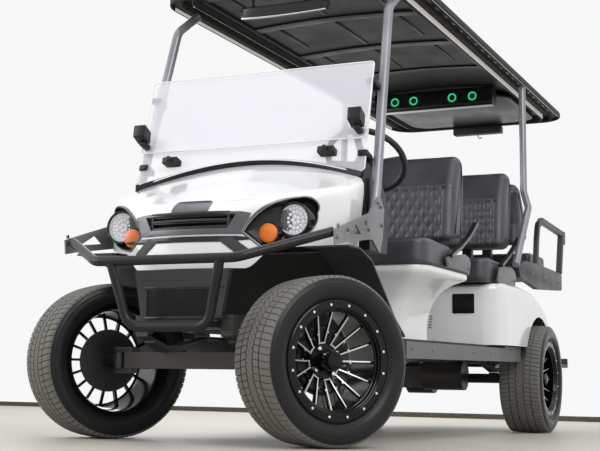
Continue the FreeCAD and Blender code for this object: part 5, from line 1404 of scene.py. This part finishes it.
# the rear body's crest: station, height over the body's top
POD_CREST = ((1923, -20), (1940, -4), (1965, 0), (2120, 0), (2320, 0), (2620, -22), (2780, -66),
             (2920, -114), (2955, -180), (2960, -254))
POD_FRONT, POD_HALF, POD_CORNER, POD_EDGE = 1923, 590.0, 105.0, 26.0
WHEELBASE = 2722
ARCH_HEIGHT = TYRE_RADIUS / MM - WHEELBASE * math.sin(RAKE)


def build_rear_body():
    """White rear shell: crest sweeping down to the back, round front corners, open arches."""
    crest = resampled([(station, BODY_TOP + drop) for station, drop in POD_CREST], 110)
    rows = []
    for k, (station, height) in enumerate(crest):
        if 0 < k < len(crest) - 1:
            near = crest[max(0, k - 4):k + 5]
            station, height = (sum(spot[n] for spot in near) / len(near) for n in (0, 1))
        # the plan's front corners are rounded, and the side wall ends at the wheel arch
        depth = max(0.0, POD_CORNER - (station - POD_FRONT))
        reach = POD_HALF - POD_CORNER + math.sqrt(max(0.0, POD_CORNER ** 2 - depth ** 2))
        arch = ARCH_HEIGHT + math.sqrt(max(0.0, 338 ** 2 - (station - WHEELBASE) ** 2))
        flat, top = reach - POD_EDGE, height - POD_EDGE
        low = min(max(BODY_FOOT, arch), top - 2)
        column = [Vector((reach, station, low + (top - low) * k / 10)) for k in range(11)]
        column += [Vector((flat + POD_EDGE * math.cos(turn), station,
                           top + POD_EDGE * math.sin(turn)))
                   for turn in (math.pi / 12 * k for k in range(1, 7))]
        mirrored = [Vector((-point.x, point.y, point.z)) for point in reversed(column)]
        column += [Vector((flat * (1 - 2 * k / 8), station, height)) for k in range(1, 8)]
        rows.append(column + mirrored)
    verts = [LEVEL @ point for column in rows for point in column]
    count = len(rows[0])
    faces = grid_faces(len(rows), count) + [tuple(range(count))]
    bake(add_piece("rear_shell", verts, faces, WHITE, smooth=50, replaces=("rear_body",)), 5)
    # black liners in the wheel arches
    liners = []
    for side in (1, -1):
        verts = [level(side * x, WHEELBASE - 334 * math.cos(turn),
                       ARCH_HEIGHT + 334 * math.sin(turn))
                 for turn in (math.radians(20 + 3.5 * k) for k in range(41)) for x in (330, 584)]
        liners.append(add_piece("liner", verts, grid_faces(41, 2), BLACK_PLASTIC))
    gathered("arch_liners", liners)
    plates = []
    for side in (1, -1):
        outline = [(side * x, height) for x, height in ((334, 547), (447, 547), (447, 645),
                                                        (334, 645))]
        plates.append(plate("plate", rounded_outline(outline, 5),
                            lambda a, b, c: (a, POD_FRONT - 0.4 - c, b), 0, 3.2, BLACK_GLOSS,
                            bevel=0.8))
    gathered("blank_side_plates", plates)


# Side frames, restraints and steps

def build_arm_frames():
    """Deep base band with the bent tube of the arm rising from it."""
    parts = []
    band = rounded_outline([(2381, 816), (2423, 761), (2833, 722), (3483, 755), (3487, 859),
                            (2833, 866), (2533, 858)], 16)
    for side in (1, -1):
        x = side * 546
        parts.append(plate("band", band, sideways(side), 531, 560, ARM_GREY, bevel=3))
        path = [(x, 2842, 858), (x, 2872, 1010), (x, 2902, 1092), (x, 2990, 1132), (x, 3582, 1112)]
        parts.append(sweep("arm", rounded_path(path, 50), bar_section(14, 18, 5), ARM_GREY,
                           up=(0, 0.2, 1)))
        parts.append(sweep("arm_post", [(x, 3540, 1096), (x, 3472, 862)], bar_section(14, 18, 5),
                           ARM_GREY, up=(1, 0, 0)))
        parts.append(block("arm_end", (x - 15, 3556, 1050), (x + 15, 3610, 1132), ARM_GREY, 6))
    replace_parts(gathered("arm_tubes", parts), "arm_frames")


# inner and outer face, the plate's outline, and the strap's path, for the front and the middle row
RESTRAINTS = (
    (542, 550,
     ((1124, 753), (1148, 701), (1477, 701), (1506, 758), (1480, 782), (1410, 792), (1260, 775)),
     ((1180, 763), (1327, 814), (1464, 876), (1535, 918), (1598, 956))),
    (550.7, 558.7,
     ((1990, 777), (1946, 701), (2309, 701), (2335, 760), (2300, 785), (2215, 800), (2080, 790)),
     ((2052, 792), (2227, 862), (2342, 917), (2438, 972))))


def build_restraints():
    """Hip restraint plates with their curved flat straps and grey arms."""
    parts, straps = [], []
    for inner, outer, outline, path in RESTRAINTS:
        for side in (1, -1):
            parts.append(plate("restraint", rounded_outline(outline, 18), sideways(side), inner,
                               outer, GREY_METAL, bevel=1.5))
            line = rounded_path([(side * 548, a, b) for a, b in path], 160)
            straps.append(sweep("strap", line, bar_section(13, 6, 3), BLACK_SATIN))
            edge = [(point.x + side * 12.5, point.y, point.z) for point in line]
            parts.append(sweep("strap_edge", edge, bar_section(2, 7, 1.5), GREY_METAL))
    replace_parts(gathered("restraint_straps", straps), "hip_restraints")
    gathered("restraint_plates", parts)


def build_rear_steps():
    """Deck under the rear seat and the rear riders' step, with rolled rims and a ribbed tread."""
    spans = [((-529, 2600, 794), (529, 3236, 836), 8), ((-556, 3130, 284), (556, 3645, 306), 6),
             ((-556, 3632, 284), (556, 3645, 341), 4)]
    spans += [((x - 25, 3360, 306), (x + 25, 3410, 329), 3) for x in (170, -170)]
    spans += [((x - 6, 3150, 305), (x + 6, 3610, 308), 1.2)
              for x in (-520 + 41.6 * k for k in range(26))]
    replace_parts(gathered("rear_steps", [block("step", low, high, BLACK_PLASTIC, bevel)
                                        for low, high, bevel in spans]), "rear_platforms")


def build_bolts():
    """Bolt heads on the strut brackets, the sills, the arm bands and the restraints."""
    spots = [(552, station, height) for station, height in (
        (-118, 752), (-122, 712), (176, 770), (272, 880), (312, 800), (300, 868), (-20, 748))]
    spots += [(560, station, 350) for station in (640, 900, 1500, 1800, 2300)]
    spots += [(560.5, station, 800) for station in (2480, 2700, 3000, 3400)]
    spots += [(551, 1150, 730), (551, 1470, 730), (559.5, 1975, 730), (559.5, 2300, 730)]
    bolts = []
    for x, station, height in spots:
        for side, way in ((1, 0), (-1, math.pi)):
            spot = (LEVEL @ Matrix.Translation((side * x, station, height))
                    @ Matrix.Rotation(way, 4, "Z"))
            bolts.append(lathe("bolt", [(-4, 7), (1.5, 7), (3, 6.4), (4.2, 4.5), (4.6, 0)], spot,
                               CHROME_DARK, count=16))
    gathered("body_bolts", bolts)


# Camera, floor and light

def place_camera():
    """The photograph's viewpoint, with its roll."""
    forward = Vector((-math.sin(AZIMUTH) * math.cos(PITCH), math.cos(AZIMUTH) * math.cos(PITCH),
                      math.sin(PITCH)))
    right = Vector((math.cos(AZIMUTH), math.sin(AZIMUTH), 0))
    up = right.cross(forward)
    across = right * math.cos(ROLL) + up * math.sin(ROLL)
    above = up * math.cos(ROLL) - right * math.sin(ROLL)
    camera = bpy.data.objects.new("camera", bpy.data.cameras.new("camera"))
    bpy.context.scene.collection.objects.link(camera)
    camera.matrix_world = Matrix.Translation(CAMERA_PLACE) @ Matrix(
        (across, above, -forward)).transposed().to_4x4()
    camera.data.sensor_width = SENSOR
    camera.data.lens = FOCAL_PIXELS / PHOTO_WIDTH * SENSOR
    camera.data.clip_start = 0.05
    bpy.context.scene.camera = camera


def stage_material(name, first, second, rough):
    """Concrete or paint: broad clouds, fine speckle and a faint grain."""
    material, tree, shader = node_tree(name)
    cloud = textured(tree, "ShaderNodeTexNoise", 0.7, Detail=6.0)
    speckle = textured(tree, "ShaderNodeTexNoise", 60.0, Detail=4.0)
    shade = mixed(tree, ranged(tree, cloud.outputs["Fac"], 0, 1, 0.35, 0.65), first, second)
    shade = mixed(tree, ranged(tree, speckle.outputs["Fac"], 0, 0.25, 0.4, 0.8), shade,
                  (0.40, 0.38, 0.34))
    tree.links.new(shade, shader.inputs["Base Color"])
    shader.inputs["Roughness"].default_value = rough
    shader.inputs["Specular IOR Level"].default_value = 0.3
    bumped(tree, shader, [(speckle.outputs["Fac"], 0.0004, 0.3)])
    return material


def build_world():
    """Soft light from all round; the camera, metal and glass see it as a near-white backdrop."""
    world = bpy.data.worlds.new("studio")
    bpy.context.scene.world = world
    world.use_nodes = True
    tree = world.node_tree
    light = tree.nodes["Background"]
    light.inputs["Color"].default_value = (0.93, 0.94, 0.95, 1)
    light.inputs["Strength"].default_value = 0.75
    seen = tree.nodes.new("ShaderNodeBackground")
    seen.inputs["Color"].default_value = (0.93, 0.935, 0.935, 1)
    path = tree.nodes.new("ShaderNodeLightPath")
    factor = path.outputs["Is Camera Ray"]
    for ray in ("Is Glossy Ray", "Is Transmission Ray"):
        either = tree.nodes.new("ShaderNodeMath")
        either.operation = "MAXIMUM"
        tree.links.new(factor, either.inputs[0])
        tree.links.new(path.outputs[ray], either.inputs[1])
        factor = either.outputs["Value"]
    mix = tree.nodes.new("ShaderNodeMixShader")
    tree.links.new(factor, mix.inputs["Fac"])
    tree.links.new(light.outputs["Background"], mix.inputs[1])
    tree.links.new(seen.outputs["Background"], mix.inputs[2])
    tree.links.new(mix.outputs["Shader"], tree.nodes["World Output"].inputs["Surface"])


def stage_sheet(name, verts, faces, material):
    """A flat piece of the studio."""
    mesh = bpy.data.meshes.new(name)
    mesh.from_pydata(verts, [], faces)
    mesh.materials.append(material)
    sheet = bpy.data.objects.new(name, mesh)
    bpy.context.scene.collection.objects.link(sheet)


def build_stage():
    """Beige concrete floor with a dark skirting at its far edge, and soft lights round the cart."""
    half, near, far, high = 12.0, -9.0, 5.1, 0.045
    stage_sheet("floor", [(-half, near, 0), (half, near, 0), (half, far, 0), (-half, far, 0)],
                [(0, 1, 2, 3)], stage_material("concrete", (0.50, 0.472, 0.42),
                                               (0.55, 0.522, 0.465), 0.45))
    front = far - 0.02
    stage_sheet("skirting", [(-half, front, 0), (half, front, 0), (half, front, high),
                             (-half, front, high), (half, far, high), (-half, far, high)],
                [(0, 1, 2, 3), (3, 2, 4, 5)],
                stage_material("skirting", (0.05, 0.035, 0.022), (0.075, 0.055, 0.036), 0.5))
    # name, place, aim, size, watts
    lamps = (("key", (4.5, -4.5, 4.2), (0, 0, 0.8), 3.5, 178),
             ("fill", (-5.0, -4.0, 3.0), (0, -0.5, 0.8), 4.0, 150),
             ("top", (0.0, 0.0, 5.5), (0, 0, 0), 5.0, 124),
             ("rear", (-3.0, 5.5, 3.5), (0, 0.5, 1.0), 3.0, 90))
    for name, place, aim, size, watts in lamps:
        light = bpy.data.lights.new(name, "AREA")
        light.energy = watts
        light.size = size
        lamp = bpy.data.objects.new(name, light)
        lamp.location = place
        lamp.rotation_euler = (Vector(aim) - Vector(place)).to_track_quat("-Z", "Y").to_euler()
        bpy.context.scene.collection.objects.link(lamp)
    build_world()


for build in (place_camera, build_stage, dress_nodes, build_cowl, build_nose_trim, build_wheels,
              build_seats, build_roof, build_sound_bar, build_mirror, build_windshield,
              build_steering, build_dash_details, build_seat_base, build_rear_body,
              build_arm_frames, build_restraints, build_rear_steps, build_bolts):
    build()

bpy.context.scene.view_settings.view_transform = "Standard"
